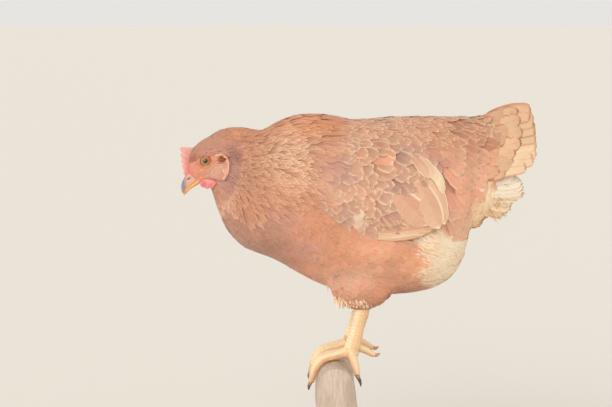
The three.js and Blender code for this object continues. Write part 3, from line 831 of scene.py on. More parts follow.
def vanes(name, line, up, wide, look, shape, columns, material, slot="feather_rust", **how):
    """Feathers as closed, thin, arched blades joined into pieces. line and up are (feathers, rows, 3). look has
    tint, trim and marks for each feather. how: made (the random numbers), roll, ragged, arch, thick, fringe and
    upper_edge (only the upper edge is marked)."""
    made = how["made"]
    count, rows = line.shape[:2]
    t = shares(rows)
    half = along(SHAPES[shape], t)[0][None] * wide[:, None] / 2
    heading = unit(np.gradient(line, axis=1))
    side = unit(np.cross(heading, up))
    up = np.cross(side, heading)
    roll = (made.normal(size=(count, 1)) * how.get("roll", 0.06))[..., None] * t[None, :, None]
    side, up = side * np.cos(roll) + up * np.sin(roll), up * np.cos(roll) - side * np.sin(roll)

    s = np.linspace(-1, 1, columns)
    s = np.concatenate([s, s[-2:0:-1]])
    face = np.concatenate([np.ones(columns), -np.ones(columns - 2)])
    face[0] = face[columns - 1] = 0
    ragged = how.get("ragged", 0.08)
    edge = 1 + ragged * made.normal(size=(count, rows, 2)).clip(-2, 1.2)
    edge = np.where(made.random(edge.shape) < ragged * 0.8, edge * 0.72, edge)
    across = s * np.where(s > 0, edge[..., :1], edge[..., 1:]) * half[..., None]
    arch = how.get("arch", 0.05) * (1 - s**2) * half[..., None]
    thick = how.get("thick", 0.2) * face * np.sqrt(1 - s**2) * np.minimum(1, half[..., None] / 1.5)
    thick = thick * (1 - 0.9 * t**8)[None, :, None]
    sweep = 0.35 * np.abs(s) ** 1.5 * half[..., None] * (1 - t**3)[None, :, None]
    tooth = np.where(np.arange(columns) % 2, 1.0, -0.6) * made.uniform(0.3, 1.3, (count, columns))
    tooth = np.concatenate([tooth, tooth[:, -2:0:-1]], 1)[:, None] * (t**7)[:, None]
    sweep = sweep + tooth * how.get("fringe", 0.08) * wide[:, None, None]
    blade = (
        line[:, :, None]
        + side[:, :, None] * across[..., None]
        + up[:, :, None] * (arch + thick)[..., None]
        + heading[:, :, None] * sweep[..., None]
    )
    j = len(s)
    ends = [line[:, :1], blade[:, -2].mean(1, keepdims=True)]
    points = np.concatenate([blade[:, 1:-1].reshape(count, -1, 3), *ends], 1)
    size = points.shape[1]
    quads, tris = faces_through(rows - 2, j)
    rim = np.concatenate([np.tile(face == 0, rows - 2), [True, True]])
    last_ring = np.concatenate([np.repeat(np.arange(rows - 2) == rows - 3, j), [False, True]])
    u = np.concatenate([np.tile((s + 1) / 2, rows - 2), [0.5, 0.5]])
    v = np.concatenate([np.repeat(t[1:-1], j), [0, 1]])

    triangles = len(quads) * 2 + len(tris)
    for which, flip in (("left", line[:, 0, 1] < 0), ("right", line[:, 0, 1] >= 0)):
        chosen = np.flatnonzero(flip)
        chosen = chosen[np.argsort(line[chosen, 0, 0])]
        parts = max(1, math.ceil(len(chosen) * triangles / PIECE_TRIANGLES))
        for part, group in enumerate(np.array_split(chosen, parts)):
            if not len(group):
                continue
            shift = np.arange(len(group))[:, None, None] * size
            label = f"{name}_{which}" + (f"_{part + 1}" if parts > 1 else "")
            faces = [(f[None] + shift).reshape(-1, f.shape[1]) for f in (quads[:, ::-1], tris[:, ::-1])]
            obj = mesh_object(label, points[group].reshape(-1, 3), *faces, material)
            pairs = read(obj.data.edges, "vertices", 2, np.int32) % size
            sharp = obj.data.attributes.new("sharp_edge", "BOOLEAN", "EDGE")
            sharp.data.foreach_set("value", rim[pairs].all(1) | last_ring[pairs].all(1))
            uv = np.tile(np.stack([u, v], -1), (len(group), 1))
            marked = (0, 1)
            if how.get("upper_edge"):
                marked = (0, 0.5) if which == "left" else (0.5, 1)
            uv_from_points(obj, "vane", np.stack([uv[:, 0].clip(*marked), uv[:, 1]], -1))
            home = np.repeat(unwrap(line[group, 0]), size, 0)
            uv_from_points(obj, "OFBake", home + 0.003 * (uv - 0.5))
            for key in ("tint", "trim", "marks"):
                paint(obj, key, np.repeat(look[key][group], size, 0))
            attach(obj, "root")


def lay(name, surface, root, way, length, wide, look, rows, lift, depth=None, turn_limit=0.8,
        last_way=None, **how):
    """Feathers laid over the surface: each starts in the coat's depth and comes up to its own lift above it."""
    line, up = run_along(surface, root, way, length, rows, turn_limit, last_way)
    t = shares(rows)
    before = np.minimum((t * (rows - 1)).astype(int), rows - 2)
    part = (t * (rows - 1) - before)[None, :, None]
    line, up = (mix(v[:, before], v[:, before + 1], part) for v in (line, up))
    t = t[None, :, None]
    depth = (np.minimum(coat_depth(root) + 0.4, 0.2 + 0.08 * length) if depth is None else depth)[:, None, None]
    lift = np.broadcast_to(lift, len(root))[:, None, None]
    line = line + up * (-depth * (1 - t) ** 1.6 + lift * t**1.5)
    vanes(name, line, up, wide, look, **how)


def plain(tint, trim, marks):
    """The look of feathers with one trim and the same marks."""
    return {"tint": tint, "trim": np.tile(trim, (len(tint), 1)), "marks": np.tile(marks, (len(tint), 1))}


def seen(root, made, tint, trim, marks):
    """The look of each feather: main colour, trim and marks (shaft, edge, tip), each a little different."""
    shade = np.exp(0.045 * made.normal(size=(len(root), 1)) + 0.05 * waves(root, 18, 51)[:, None])
    warm = 1 + 0.025 * made.normal(size=(len(root), 3))
    marks = np.array(marks, float) * made.uniform(0.55, 1.25, (len(root), 3))
    return {"tint": tint * shade * warm, "trim": trim * np.sqrt(shade), "marks": marks.clip(0, 1)}


# ---------------------------------------------------------------- the zones of the plumage


def near_head(p):
    """Distance behind the face."""
    return np.linalg.norm(p - from_head([2, 0, -2]), axis=1) - 18


surface = Surface(form)
AWAY = [0, 10, 25, 60, 110, 170]
HACKLE_ROWS = [
    # spacing, length, width and lift of the feathers at these distances behind the face
    [1.3, 1.4, 1.75, 2.65, 3.4, 4.0],
    [5.6, 7.5, 14, 26, 38, 46],
    [2.0, 2.3, 3.1, 4.9, 6.4, 7.2],
    [0.05, 0.08, 0.12, 0.2, 0.3, 0.35],
]


def contour(p):
    """Spacing, length, width and lift of the body feathers at p."""
    x, _, z = p.T
    wing = over(np.array([7.6, 34.0, 20.0, 0.5]), np.array([6.2, 27.0, 16.0, 0.35]), step(70, -30, x))
    value = np.tile([4.3, 25.0, 12.0, 0.12], (len(p), 1))
    for share, zone in (
        (step(-30, -95, x), [3.75, 18.5, 8.8, 0.12]),  # breast
        (back_share(p), [4.0, 28.0, 7.6, 0.2]),
        (wing_share(p), wing),
        (rump_share(p), [7.0, 38.0, 19.0, 0.5]),
        (step(128, 150, x) * step(318, 302, z), [5.0, 27.0, 14.0, 0.8]),  # under the tail
        (step(146, 158, x) * step(348, 338, z) * step(300, 312, z), [4.0, 19.0, 12.0, 0.3]),  # its foot
        (step(212, 202, z), [3.8, 15.0, 8.5, 0.1]),  # thigh
    ):
        value = over(value, np.array(zone), share)
    away = near_head(p)
    grown = np.stack([np.interp(away, AWAY, row) for row in HACKLE_ROWS], -1)
    return over(value, grown, np.maximum(hackle_share(p), step(46, 22, away)))


made = np.random.default_rng(11)
roots = surface.scatter(lambda p: contour(p)[:, 0], made)
f, _, h = to_head(roots).T
x, y, z = roots.T
bill_or_comb = ((f > 24) & (h > -20)) | ((np.abs(y) < 2.6) & (f > 1) & (h > -6))
under_tail = ((x > 172) & (z > 335)) | (x > 190) | ((x > 162) & (z > 398))
under_quills = ((x > 79) & (x < 118) & (z < 368)) | ((x > 46) & (x < 124) & (z < 302)) | ((x > 22) & (z < 295))
hidden = under_tail | (z < 193.5) | ((wing_share(roots) > 0.05) & under_quills & (z > 276))
roots = roots[(bare_face(roots) < 0.5) & ~bill_or_comb & ~hidden]
roots = roots[made.random(len(roots)) > 0.9 * fluff_share(roots)]
x, y, z = roots.T
_, lengths, widths, lifts = contour(roots).T
lengths = np.minimum(lengths, np.where(z < 214, 2 + (z - 190), 99))
lengths = np.minimum(lengths, np.where((x > 130) & (z > 388), (175 - x).clip(13), 99))
vary = np.exp(0.1 * made.normal(size=(len(roots), 2)))
lengths, widths = lengths * vary[:, 0], widths * vary[:, 1]
ways = lie(roots)
ways[:, 1] += 0.10 * made.normal(size=len(roots)) + 0.12 * np.sign(y) * step(385, 400, z)
ways[:, 2] += 0.08 * made.normal(size=len(roots))
colours = coat_colour(roots)

feather = feather_material("plumage")
away = near_head(roots)
in_hackle = (hackle_share(roots) > 0.5) | (away < 34)
in_wing = (wing_share(roots) > 0.5) & ~in_hackle
rump = (rump_share(roots) > 0.5) & ~in_wing
back = (back_share(roots) > 0.5) & ~in_hackle & ~in_wing & ~rump
rest = ~(in_hackle | in_wing | rump | back)
streaked = bump_at(x, -72, 27) * bump_at(z, 366, 30)
streaked += 0.6 * bump_at(x, -133, 14) * bump_at(z, 322, 20)
rusty = hackle_share(roots) * (1 - 0.95 * streaked)
cool = bump_at(x, -15, 17) * bump_at(z, 362, 11)
trims = over(colours, over(mix(BUFF, CREAM, 0.2), srgb(236, 176, 134), rusty), 0.85 - 0.6 * cool)
groups = {
    # name: chosen, marks, shape, columns, rows, how
    "head_feathers": (in_hackle & (away < 24), (0.1, 0.1, 0.1), "lance", 3, 6, {"ragged": 0.1}),
    "hackle": (in_hackle & (away >= 24), (0.5, 0.7, 0.5), "lance", 5, 10, {"ragged": 0.1, "roll": 0.11}),
    "wing_coverts": (in_wing, (0.1, 0.65, 0.35), "round", 9, 13, {"ragged": 0.04, "fringe": 0.05}),
    "back_feathers": (back, (0.55, 0.6, 0.3), "round", 5, 9, {"ragged": 0.12}),
    "rump_coverts": (rump, (0.2, 0.45, 0.25), "round", 9, 13, {"ragged": 0.05, "fringe": 0.06}),
    "body_feathers": (rest, (0.2, 0.2, 0.1), "round", 7, 9, {"ragged": 0.05, "roll": 0.03}),
}
for name, (chosen, marks, shape, columns, rows, how) in groups.items():
    i = np.flatnonzero(chosen)
    look = seen(roots[i], made, colours[i], trims[i], marks)
    if name == "hackle":
        look["marks"] = (look["marks"] * mix(0.75, 1.25, streaked[i])[:, None]).clip(0, 1)
    limit = 0.8 if name == "rump_coverts" else 0.55
    lift = lifts[i] * made.uniform(0.6, 1.4, len(i))
    lay(name, surface, roots[i], ways[i], lengths[i], widths[i], look, rows, lift, turn_limit=limit,
        shape=shape, columns=columns, material=feather, made=made, **how)

# ---------------------------------------------------------------- down: the cream fluff behind the legs

down = feather_material("down", 0.3)
roots = surface.scatter(lambda p: mix(60.0, 1.5, step(0.05, 0.2, fluff_share(p))), made)
roots = roots[fluff_share(roots) > made.uniform(0.05, 0.35, len(roots))]
ways = lie(roots) + 0.14 * made.normal(size=roots.shape)
count = len(roots)
cream = mix(coat_colour(roots), CREAM, 0.15) * made.uniform(0.95, 1.04, (count, 1))
look = plain(cream * 1.02, WHITE, [0.1, 0.3, 0.5])
lay("down", surface, roots, ways, made.uniform(14, 30, count), made.uniform(1.4, 2.8, count), look, rows=8,
    lift=made.uniform(-0.2, 1.4, count) * step(286, 266, roots[:, 2]), turn_limit=0.85, shape="lance",
    columns=3, material=down, ragged=0.1, roll=0.2, made=made)

# the pale fringe that hangs over the front of each thigh
count = 320
side = np.where(np.arange(count) % 2, 1, -1)
x, y = made.uniform(-14, 34, count), side * made.uniform(16, 50, count)
hang_from = np.stack([x, y, np.full(count, 211.0)], -1)
ways = unit(np.stack([0.22 + 0.2 * made.normal(size=count), 0.05 * side, np.full(count, -1.0)], -1))
cream = mix(BUFF, ROSE * 0.9, made.random((count, 1)))
look = plain(cream, CREAM, [0.2, 0.3, 0.4])
lay("thigh_fringe", surface, hang_from, ways, made.uniform(10, 21, count), made.uniform(1.2, 2.8, count), look,
    rows=9, depth=np.full(count, 1.5), lift=made.uniform(0.1, 1.2, count), turn_limit=0.9, shape="lance",
    columns=5, material=down, ragged=0.25, roll=0.3, made=made)

# loose strands that hang free from the belly's edge
count = 170
side = np.where(np.arange(count) % 2, 1, -1)
x, y = made.uniform(-19, 8, count), side * made.uniform(18, 52, count)
start, _ = surface.nearest(np.stack([x, y, np.full(count, 205.0)], -1))
t = np.linspace(0, 1, 9)[None, :, None]
fall = np.stack([made.normal(3, 2.0, count), side * made.normal(1, 1.5, count), -made.uniform(7, 17, count)], -1)
line = start[:, None] + [0, 0, 2.0] + t * fall[:, None] * [1, 1, 1.15] + [3.5, 0, 0] * np.sin(2.2 * t) * (1 - t)
out = np.tile(side[:, None, None] * np.array([0, 1.0, 0]), (1, 9, 1)) + [-0.4, 0, 0]
cream = mix(mix(CREAM, BUFF, 0.5), ROSE, 0.7 * made.random((count, 1)))
look = plain(cream, WHITE, [0.2, 0.4, 0.4])
vanes("belly_fringe", line, unit(out), made.uniform(0.8, 2.2, count), look, "lance", 5, down,
      ragged=0.25, roll=0.4, made=made)

# ---------------------------------------------------------------- the wing's quills

SECONDARY_TIPS = [[0, 96, 336], [1, 102, 336], [3, 111, 332], [5, 117, 325]]
quill_vanes = feather_material("quill_vanes", 0.5, 0.72, 0.94)


def leaning(degrees):
    angle = np.radians(degrees)
    return np.stack([np.cos(angle), np.zeros(len(angle)), np.sin(angle)], -1)


def quills(name, tips, first, last, lengths, wide, lifts, look, depth, shape="long", **how):
    """Long wing feathers on both sides, each told by its tip (x, z), its first and last angle and its length."""
    first, last = leaning(first), leaning(last)
    root = np.array(tips) - unit(first + last)[:, [0, 2]] * lengths[:, None] * 0.97
    both = [(surface.from_side(x, z, side), i) for side in (-1, 1) for i, (x, z) in enumerate(root)]
    start = np.array([b[0] for b in both])
    i = np.array([b[1] for b in both])
    lay(name, surface, start, first[i], lengths[i], wide[i], {k: v[i] for k, v in look.items()}, rows=26,
        last_way=last[i], depth=np.full(len(i), depth), lift=lifts[i], turn_limit=0.85, shape=shape, columns=9,
        material=quill_vanes, thick=0.4, fringe=0.03, **how)


n = 6
k = np.arange(n)
tips = np.stack(along(SECONDARY_TIPS, k), -1)
tint = mix(mix(ROSE, MAUVE, 0.3), mix(BUFF, CREAM, 0.8), np.array([[0.1], [0.4], [0.7], [1.0], [0.9], [0.8]]))
look = plain(tint, CREAM, [0.2, 0.5, 0.3])
quills("secondaries", tips, np.linspace(-52, -58, n), np.linspace(-66, -82, n), np.linspace(54, 48, n),
       np.full(n, 15.0), np.linspace(1.9, 1.2, n), look, depth=1.6, arch=0.08, shape="round", ragged=0.03,
       roll=0.01, made=made)

# the large last tertials, whose pale rear edge is the wing's rear corner
tint = mix(mix(ROSE, MAUVE, 0.35), BUFF, np.array([[0.6], [0.35], [0.2]]))
look = plain(tint, CREAM, [0.1, 1.0, 0.1])
quills("tertials", [[126, 294], [119, 291], [104, 294]], np.array([-50.0, -46, -40]), np.array([-80.0, -66, -44]),
       np.array([76.0, 80, 70]), np.array([20.0, 28, 30]), np.array([1.0, 1.6, 1.1]), look, depth=1.6,
       shape="round", arch=0.08, ragged=0.0, roll=0.0, upper_edge=True, made=made)

n = 9
k = np.arange(n) / (n - 1)
tips = np.stack([mix(124, 97, k**1.3), mix(290, 279.5, k)], -1)
tint = mix(mix(ROSE, BUFF, 0.2), CREAM, (np.arange(n) % 2 * 0.65 + 0.35 * k)[:, None])
look = plain(tint, BUFF, [0.1, 0.9, 0.2])
look["trim"] = over(BUFF, srgb(206, 130, 86), step(0, 0.35, k))
quills("primaries", tips, mix(3.0, 3.5, k), mix(5.0, 4.5, k), mix(88, 56, k), np.full(n, 8.5), mix(2.3, 1.5, k),
       look, depth=0.3, arch=0.06, ragged=0.03, roll=0.02, made=made)

# ---------------------------------------------------------------- the tail

# Each tail feather: start x, z, first angle, tip x, z, last angle, width, distance from the middle at its
# start and at its tip, tint and trim.
TAIL_QUILLS = [
    (150, 381, 50, 226, 414.5, -10, 25, 1.6, 2, mix(PEACH, ROSE, 0.25), EDGED),
    (152, 376, 40, 229.5, 407, -3, 23, 3.6, 3.6, mix(PEACH, ROSE, 0.15), EDGED),
    (152, 370, 32, 231, 398.5, 1, 22, 5.6, 5.8, PEACH, EDGED),
    (152, 365, 25, 231.5, 389.5, 2, 22, 7.8, 8.2, mix(PEACH, CREAM, 0.2), EDGED),
    (152, 360, 19, 232, 380.5, 3, 22, 10, 11, mix(PEACH, CREAM, 0.4), EDGED),
    (152, 355, 14, 231.5, 372, 5, 22, 12, 14, mix(PEACH, CREAM, 0.45), EDGED),
    (152, 350, 8, 228, 364, 7, 21, 14, 17, mix(PEACH, CREAM, 0.5), EDGED),
    (152, 346, 3, 219, 356, 9, 20, 15.5, 20, mix(PEACH, CREAM, 0.6), EDGED),
]
UNDER_TIPS = [[0, 206, 344], [1, 214, 339], [2, 218, 332], [3.2, 219, 323], [4.2, 210, 315], [5.5, 204, 306],
              [7, 194, 296]]


def under_rows(inner):
    """One layer of the white fan under the tail, 0 the outermost. Its lower feathers turn cream and peach."""
    found = []
    for k in np.linspace(0, 7, 15):
        x1, z1 = (float(v) for v in along(UNDER_TIPS, k))
        angle = mix(12, -32, k / 7)
        colour = mix(mix(WHITE, CREAM, step(2, 4, k)), PEACH, 0.8 * step(4.5, 7, k)) * 0.94
        x1 += made.uniform(-4, 1) - 3 * inner
        narrow = 1 - 0.4 * inner
        last, y1 = angle + made.uniform(-8, 8), (14 - k + made.uniform(-0.4, 0.4)) * narrow
        found.append((160 - 0.5 * k, 336 - 3.8 * k, angle, x1, z1, last, 15, (15 - k) * narrow, y1, colour,
                      mix(colour, BUFF, 0.3)))
    return found


def covert_rows():
    """Overlapping rows of coverts, finely edged in rust, that lie over the foot of the tail."""
    found = []
    for layer, (reach, top, count) in enumerate(((211, 419, 7), (199, 415, 8), (187, 409, 9), (176, 404, 10))):
        for k in np.linspace(0, 1, count):
            angle = mix(36, 8, k)
            x1 = reach - 8 * k**2 + made.uniform(-9, 6) * (k > 0)
            z1 = mix(top, 348, k) + made.uniform(-2, 2) * (k > 0)
            y1 = mix(2.5, 21, k) + 0.8 + layer * (0.3 + 0.5 * k)
            long = 46 + 5 * made.normal()
            x0, z0 = x1 - long * math.cos(math.radians(angle)), z1 - long * math.sin(math.radians(angle)) * 0.7
            tint = mix(mix(PEACH, ROSE, 0.15 + 0.22 * layer), MAUVE, 0.15 * layer * made.random())
            tint = tint * (1 - 0.02 * layer)
            wide = (19 - layer + made.uniform(-1.5, 1.5)) * (0.8 if k == 0 else 1)
            last = mix(14, 2, k) + 5 * made.normal()
            found.append((x0, z0, angle, x1, z1, last, wide, y1 - 1 + 1.5 * layer, y1, tint, EDGED))
    return found


def tail_fan(quills, name, tilt, shape="blunt", rows=30, marks=(0.25, 0.6, 0.1), **how):
    """A pair of fans of curved tail feathers. The lower edge of each stands outwards by the tilt."""
    t = shares(rows)[:, None]
    line, up, wide, tint, trim = [], [], [], [], []
    for side in (-1, 1):
        for x0, z0, a0, x1, z1, a1, width, y0, y1, colour, edge in quills:
            start, end = np.array([x0, side * y0, z0]), np.array([x1, side * y1, z1])
            span = np.linalg.norm(end - start)
            first, last = leaning(np.array([a0, a1])) * span
            curve = (2 * t**3 - 3 * t**2 + 1) * start + (t**3 - 2 * t**2 + t) * first
            curve = curve + (3 * t**2 - 2 * t**3) * end + (t**3 - t**2) * last
            curve[:, 1] += side * 1.5 * np.sin(math.pi * t[:, 0])
            way = unit(np.gradient(curve, axis=0))
            across = unit(np.cross(way, [0, side, 0]))
            out = unit(np.cross(across, way))
            out *= np.sign(out[:, 1:2]) * side
            across *= np.sign(across[:, 2:3])
            line.append(curve)
            up.append(unit(out * math.cos(tilt) + across * math.sin(tilt)))
            for values, value in ((wide, width), (tint, colour), (trim, edge)):
                values.append(value)
    count = len(line)
    shade = np.exp(0.05 * made.normal(size=(count, 1)))
    look = {"tint": np.array(tint) * shade * 0.88, "trim": np.array(trim) * 0.94}
    look["marks"] = np.array(marks) * made.uniform(0.7, 1.2, (count, 1))
    vanes(name, np.array(line), np.array(up), np.array(wide, float), look, shape, 11, quill_vanes, "feather_tail",
          thick=0.35, made=made, **how)


tail_fan(TAIL_QUILLS, "tail_quills", 0.34, ragged=0.02, fringe=0.03, arch=0.03, roll=0.03)
for inner, tilt in enumerate((0.2, 0.6)):
    tail_fan(under_rows(inner), f"under_fan_{inner + 1}", tilt, "long", 24, (0.1, 0.3, 0.1), ragged=0.05,
             fringe=0.07, arch=0.04, roll=0.04)
tail_fan(covert_rows(), "tail_coverts", 0.26, "round", 20, (0.15, 1.0, 0.2), ragged=0.04, fringe=0.05, arch=0.04)
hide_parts("tail")


def tail_hollow(p):
    """1 on the skin between the halves of the tail, which only shows from behind."""
    x, y, z = p.T
    room = np.minimum(0.26 * (412 - z) - 2, 15)
    return step(168, 176, x) * step(room + 1, room - 1, np.abs(y)) * step(292, 300, z)


roots = surface.scatter(lambda p: mix(60.0, 1.75, tail_hollow(p)), made)
roots = roots[tail_hollow(roots) > 0.5]
count = len(roots)
ways = unit(np.array([0.75, 0, -0.65]) + 0.12 * made.normal(size=(count, 3)))
long = made.uniform(9, 16, count) * (1 + 0.5 * step(360, 335, roots[:, 2]))
t = np.linspace(0, 1, 8)[None, :, None]
line = roots[:, None] - [1.5, 0, 0] + t * (ways * long[:, None])[:, None] - t**2 * [0, 0, 2.5]
cream = mix(mix(CREAM, WHITE, 0.5), PEACH, 0.4 * made.random((count, 1)))
look = plain(cream, WHITE, [0.1, 0.3, 0.5])
up = np.tile(unit(np.array([0.65, 0, 0.75])), (count, 8, 1))
vanes("tail_fluff", line, up, made.uniform(1.6, 3.0, count), look, "lance", 3, down, roll=0.3, made=made)

# ---------------------------------------------------------------- bill, comb, wattles, lobes and eyes


def bare_part(name, replaced, obj, colour, material):
    """A finished separate part: painted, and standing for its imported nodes."""
    paint(obj, "tint", colour)
    obj.data.materials.clear()
    obj.data.materials.append(material)
    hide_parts(*replaced)
    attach(obj, "root")
    obj.name = name
    return obj


def push(obj, amount):
    """Moves each point along its normal by amount(points)."""
    p = points_of(obj)
    set_points(obj, p + normals_of(obj) * amount(p)[:, None])


UPPER_BILL = [
    # forwards, top, bottom, half width, widest place
    [20, 2.4, -11.4, 6.6, 0.2],
    [25, 1.6, -11.6, 6.4, 0.2],
    [28, 1.0, -11.7, 6.1, 0.2],
    [33, -0.8, -12.0, 5.1, 0.2],
    [38, -3.5, -12.9, 3.8, 0.25],
    [41.5, -6.6, -14.5, 2.6, 0.3],
    [44, -11.4, -17.0, 1.2, 0.4],
]
LOWER_BILL = [
    [18, -9.6, -16.4, 5.9, 0.6],
    [24, -9.9, -16.3, 5.5, 0.6],
    [28, -10.2, -15.7, 5.2, 0.6],
    [34, -11, -15.2, 4.2, 0.6],
    [38.5, -12.2, -15.7, 2.9, 0.55],
    [41.8, -14, -16.4, 1.5, 0.5],
]
NOSTRIL = (27.5, -4.2)
HORN = srgb(220, 172, 146)
SLATE = srgb(120, 118, 138)
YELLOW = srgb(238, 178, 104)


def squared(rings, rows, power):
    """Ovals along x whose lower half is drawn out to straighter sides and a flatter end."""
    top, bottom, _, widest = along(rows, rings[:, 0, 0])
    middle = (bottom + (top - bottom) * widest)[:, None]
    share = ((middle - rings[..., 2]) / (middle - bottom[:, None])).clip(0, 1)
    wide = np.abs(rings[..., 1]).max(1, keepdims=True)
    drawn_out = np.sign(rings[..., 1]) * wide * (1 - share**power) ** (1 / power)
    rings[..., 1] = np.where(share > 0, drawn_out, rings[..., 1])
    return rings


def nostril_at(q):
    along_slot = (q[:, 0] - NOSTRIL[0]) / 2.3 - 0.25 * (q[:, 2] - NOSTRIL[1])
    return np.exp(-(along_slot**2) - ((q[:, 2] - NOSTRIL[1]) / 0.85) ** 2) * step(1.5, 3, np.abs(q[:, 1]))


horn = painted_material("horn", 0.36, 1.2, 0.07, 0.22, 0.05, 0.25)
upper = loft("bill_upper_shaped", from_head(squared(ovals(UPPER_BILL, 80, 96), UPPER_BILL, 4)))
push(upper, lambda p: 0.7 * spot(to_head(p), 27, -1.2, 4, 1.6) - 1.7 * nostril_at(to_head(p))
     + 0.12 * waves(p, 1.6, 71))
q = to_head(points_of(upper))
f, _, h = q.T
blotch = (0.5 + 0.8 * waves(q, 1.5, 72)).clip(0, 1)
colour = over(HORN, srgb(186, 140, 130), 0.5 * blotch)
# the dark horn band behind the bill's tip, its bluish cast a painted sheen
colour = over(colour, SLATE, 0.85 * bump_at(f + 0.5 * (h + 9), 38.5, 3.6))
colour = over(colour, srgb(196, 146, 110), 0.7 * step(41, 44, f))
edge = h + 0.22 * (f - 33).clip(0, 6) + 0.7 * (f - 39).clip(0, 9)
colour = over(colour, over(srgb(232, 160, 124), YELLOW, step(25, 34, f)), 0.9 * step(-9.4, -10.8, edge))
colour = over(colour, srgb(228, 140, 126), step(27, 22, f) * step(-7, -2, h))
# painted shade in the nostril's slit
colour = over(colour, srgb(96, 66, 62), nostril_at(q))
bare_part("bill_upper_shaped", ["bill_upper"], upper, colour, horn)
lower = loft("bill_lower_shaped", from_head(squared(ovals(LOWER_BILL, 60, 64), LOWER_BILL, 3)))
q = to_head(points_of(lower))
colour = over(YELLOW, srgb(226, 154, 104), 0.7 * step(-13.5, -16.5, q[:, 2]))
colour = over(colour, srgb(236, 176, 140), step(27, 20, q[:, 0])) * (1 + 0.06 * waves(q, 2, 70)[:, None])
bare_part("bill_lower_shaped", ["bill_lower"], lower, colour, horn)

flesh = painted_material("red_flesh", 0.45, 0.7, 0.1, 0.2, 0.18, specular=0.45)
COMB_CREST = np.array([[29.8, 1.8], [24.4, 11.6], [18.8, 20.9], [11.9, 30.6], [2.7, 22.5]])
COMB_SUNK = np.array([[27.3, -2.8], [-0.2, 15.7]])
share = np.linspace(0, 1, 161)
crest = np.stack([np.interp(share * 4, [0, 1.1, 2.2, 3.3, 4], COMB_CREST[:, c]) for c in range(2)], -1)
sunk = COMB_SUNK[0] + (COMB_SUNK[1] - COMB_SUNK[0]) * share[:, None]
points = np.abs(np.sin(math.pi * 5 * (share * 4 / 3.3).clip(0, 1))) ** 0.8
points = points * np.interp(share, [0, 0.5, 0.82], [0.7, 1, 1.1])
crest = crest + unit(crest - sunk) * ((2.6 * points - 1.2) * step(0, 0.06, share))[:, None]
turn = circle(56)
up =np.sign(np.sin(turn)) * np.abs(np.sin(turn)) ** 0.8 / 2 + 0.5
ends = np.minimum(1, 9 * np.minimum(share, 1 - share) + 0.2)[:, None]
wide = 2.1 * ends * (1.0 - 0.5 * up**1.5) * np.cos(turn)
place = sunk[:, None] + (crest - sunk)[:, None] * up[:, None]
rings = np.stack([place[..., 0], wide + 0.4 * np.sin(6 * share)[:, None] * up, place[..., 1]], -1)
comb = loft("comb_shaped", from_head(rings))
push(comb, lambda p: 0.22 * waves(p, 1.2, 73) + 0.12 * waves(p, 0.5, 74))
q = to_head(points_of(comb))
height = np.append(np.tile(up, len(share)), [0.5, 0.5])
# painted highlight: the comb paler towards its crest and on its upper part
colour = over(srgb(222, 134, 126), srgb(232, 180, 166), 0.8 * step(0.4, 0.95, height))
colour = over(colour, srgb(226, 170, 154), 0.6 * step(12, 24, q[:, 2]))
bare_part("comb_shaped", ["comb"], comb, colour * (1 + 0.07 * waves(q, 1.5, 75)[:, None]), flesh)


def blob(name, centre, radii, axes, shape):
    """A rounded body about a place in the model's frame, reshaped by shape(unit places) along its own axes."""
    across, round_it = np.meshgrid(np.linspace(0.03, math.pi - 0.03, 60), circle(80), indexing="ij")
    ball = np.stack([np.cos(across), np.sin(across) * np.cos(round_it), np.sin(across) * np.sin(round_it)], -1)
    return loft(name, centre + (shape(ball) * np.array(radii)) @ axes)


def hang(ball):
    """A hanging lobe: fuller and ruffled below, flat along its top."""
    out = ball.copy()
    ruffle = 0.06 * np.sin(9 * ball[..., 0] + 1) * (ball[..., 2] < 0)
    out[..., 2] = np.where(out[..., 2] > 0, 0.62 * out[..., 2], out[..., 2] * (1 + ruffle))
    out[..., 1] = out[..., 1] * (1.05 - 0.35 * ball[..., 2]) + 0.25 * np.sin(3.2 * ball[..., 0] + ball[..., 2])
    return out


SWING = math.radians(25)
for side, label in ((-1, "left"), (1, "right")):
    forwards = [-math.cos(SWING), -side * math.sin(SWING), 0]
    level = np.array([forwards, [-math.sin(SWING), side * math.cos(SWING), 0], [0, 0, 1]])
    wattle = blob("wattle_shaped", from_head([12.6, side * 11.2, -20.9]), [10.6, 1.8, 6.9], level, hang)
    push(wattle, lambda p: 0.18 * waves(p, 2.6, 76) + 0.06 * waves(p, 0.8, 77))
    q = to_head(points_of(wattle))
    # the wattle's red flesh mottled with pale patches, which are painted highlights on its wrinkles
    colour = over(srgb(222, 114, 114), srgb(238, 154, 148), (0.4 + 0.7 * waves(q, 5, 75)).clip(0, 1))
    bare_part("wattle_shaped_" + label, ["wattle_" + label], wattle, colour, flesh)
    tilted = HEAD_AXES * np.array([1, side, 1])
    lobe = blob("earlobe_shaped", from_head([-12.2, side * 17.4, -22.8]), [3.6, 1.9, 6.4], tilted, hang)
    push(lobe, lambda p: 0.2 * waves(p, 1.2, 78))
    q = to_head(points_of(lobe))
    colour = over(srgb(226, 160, 136), srgb(240, 192, 168), 0.5 + 0.5 * waves(q, 3, 79))
    bare_part("earlobe_shaped_" + label, ["earlobe_" + label], lobe, colour, flesh)

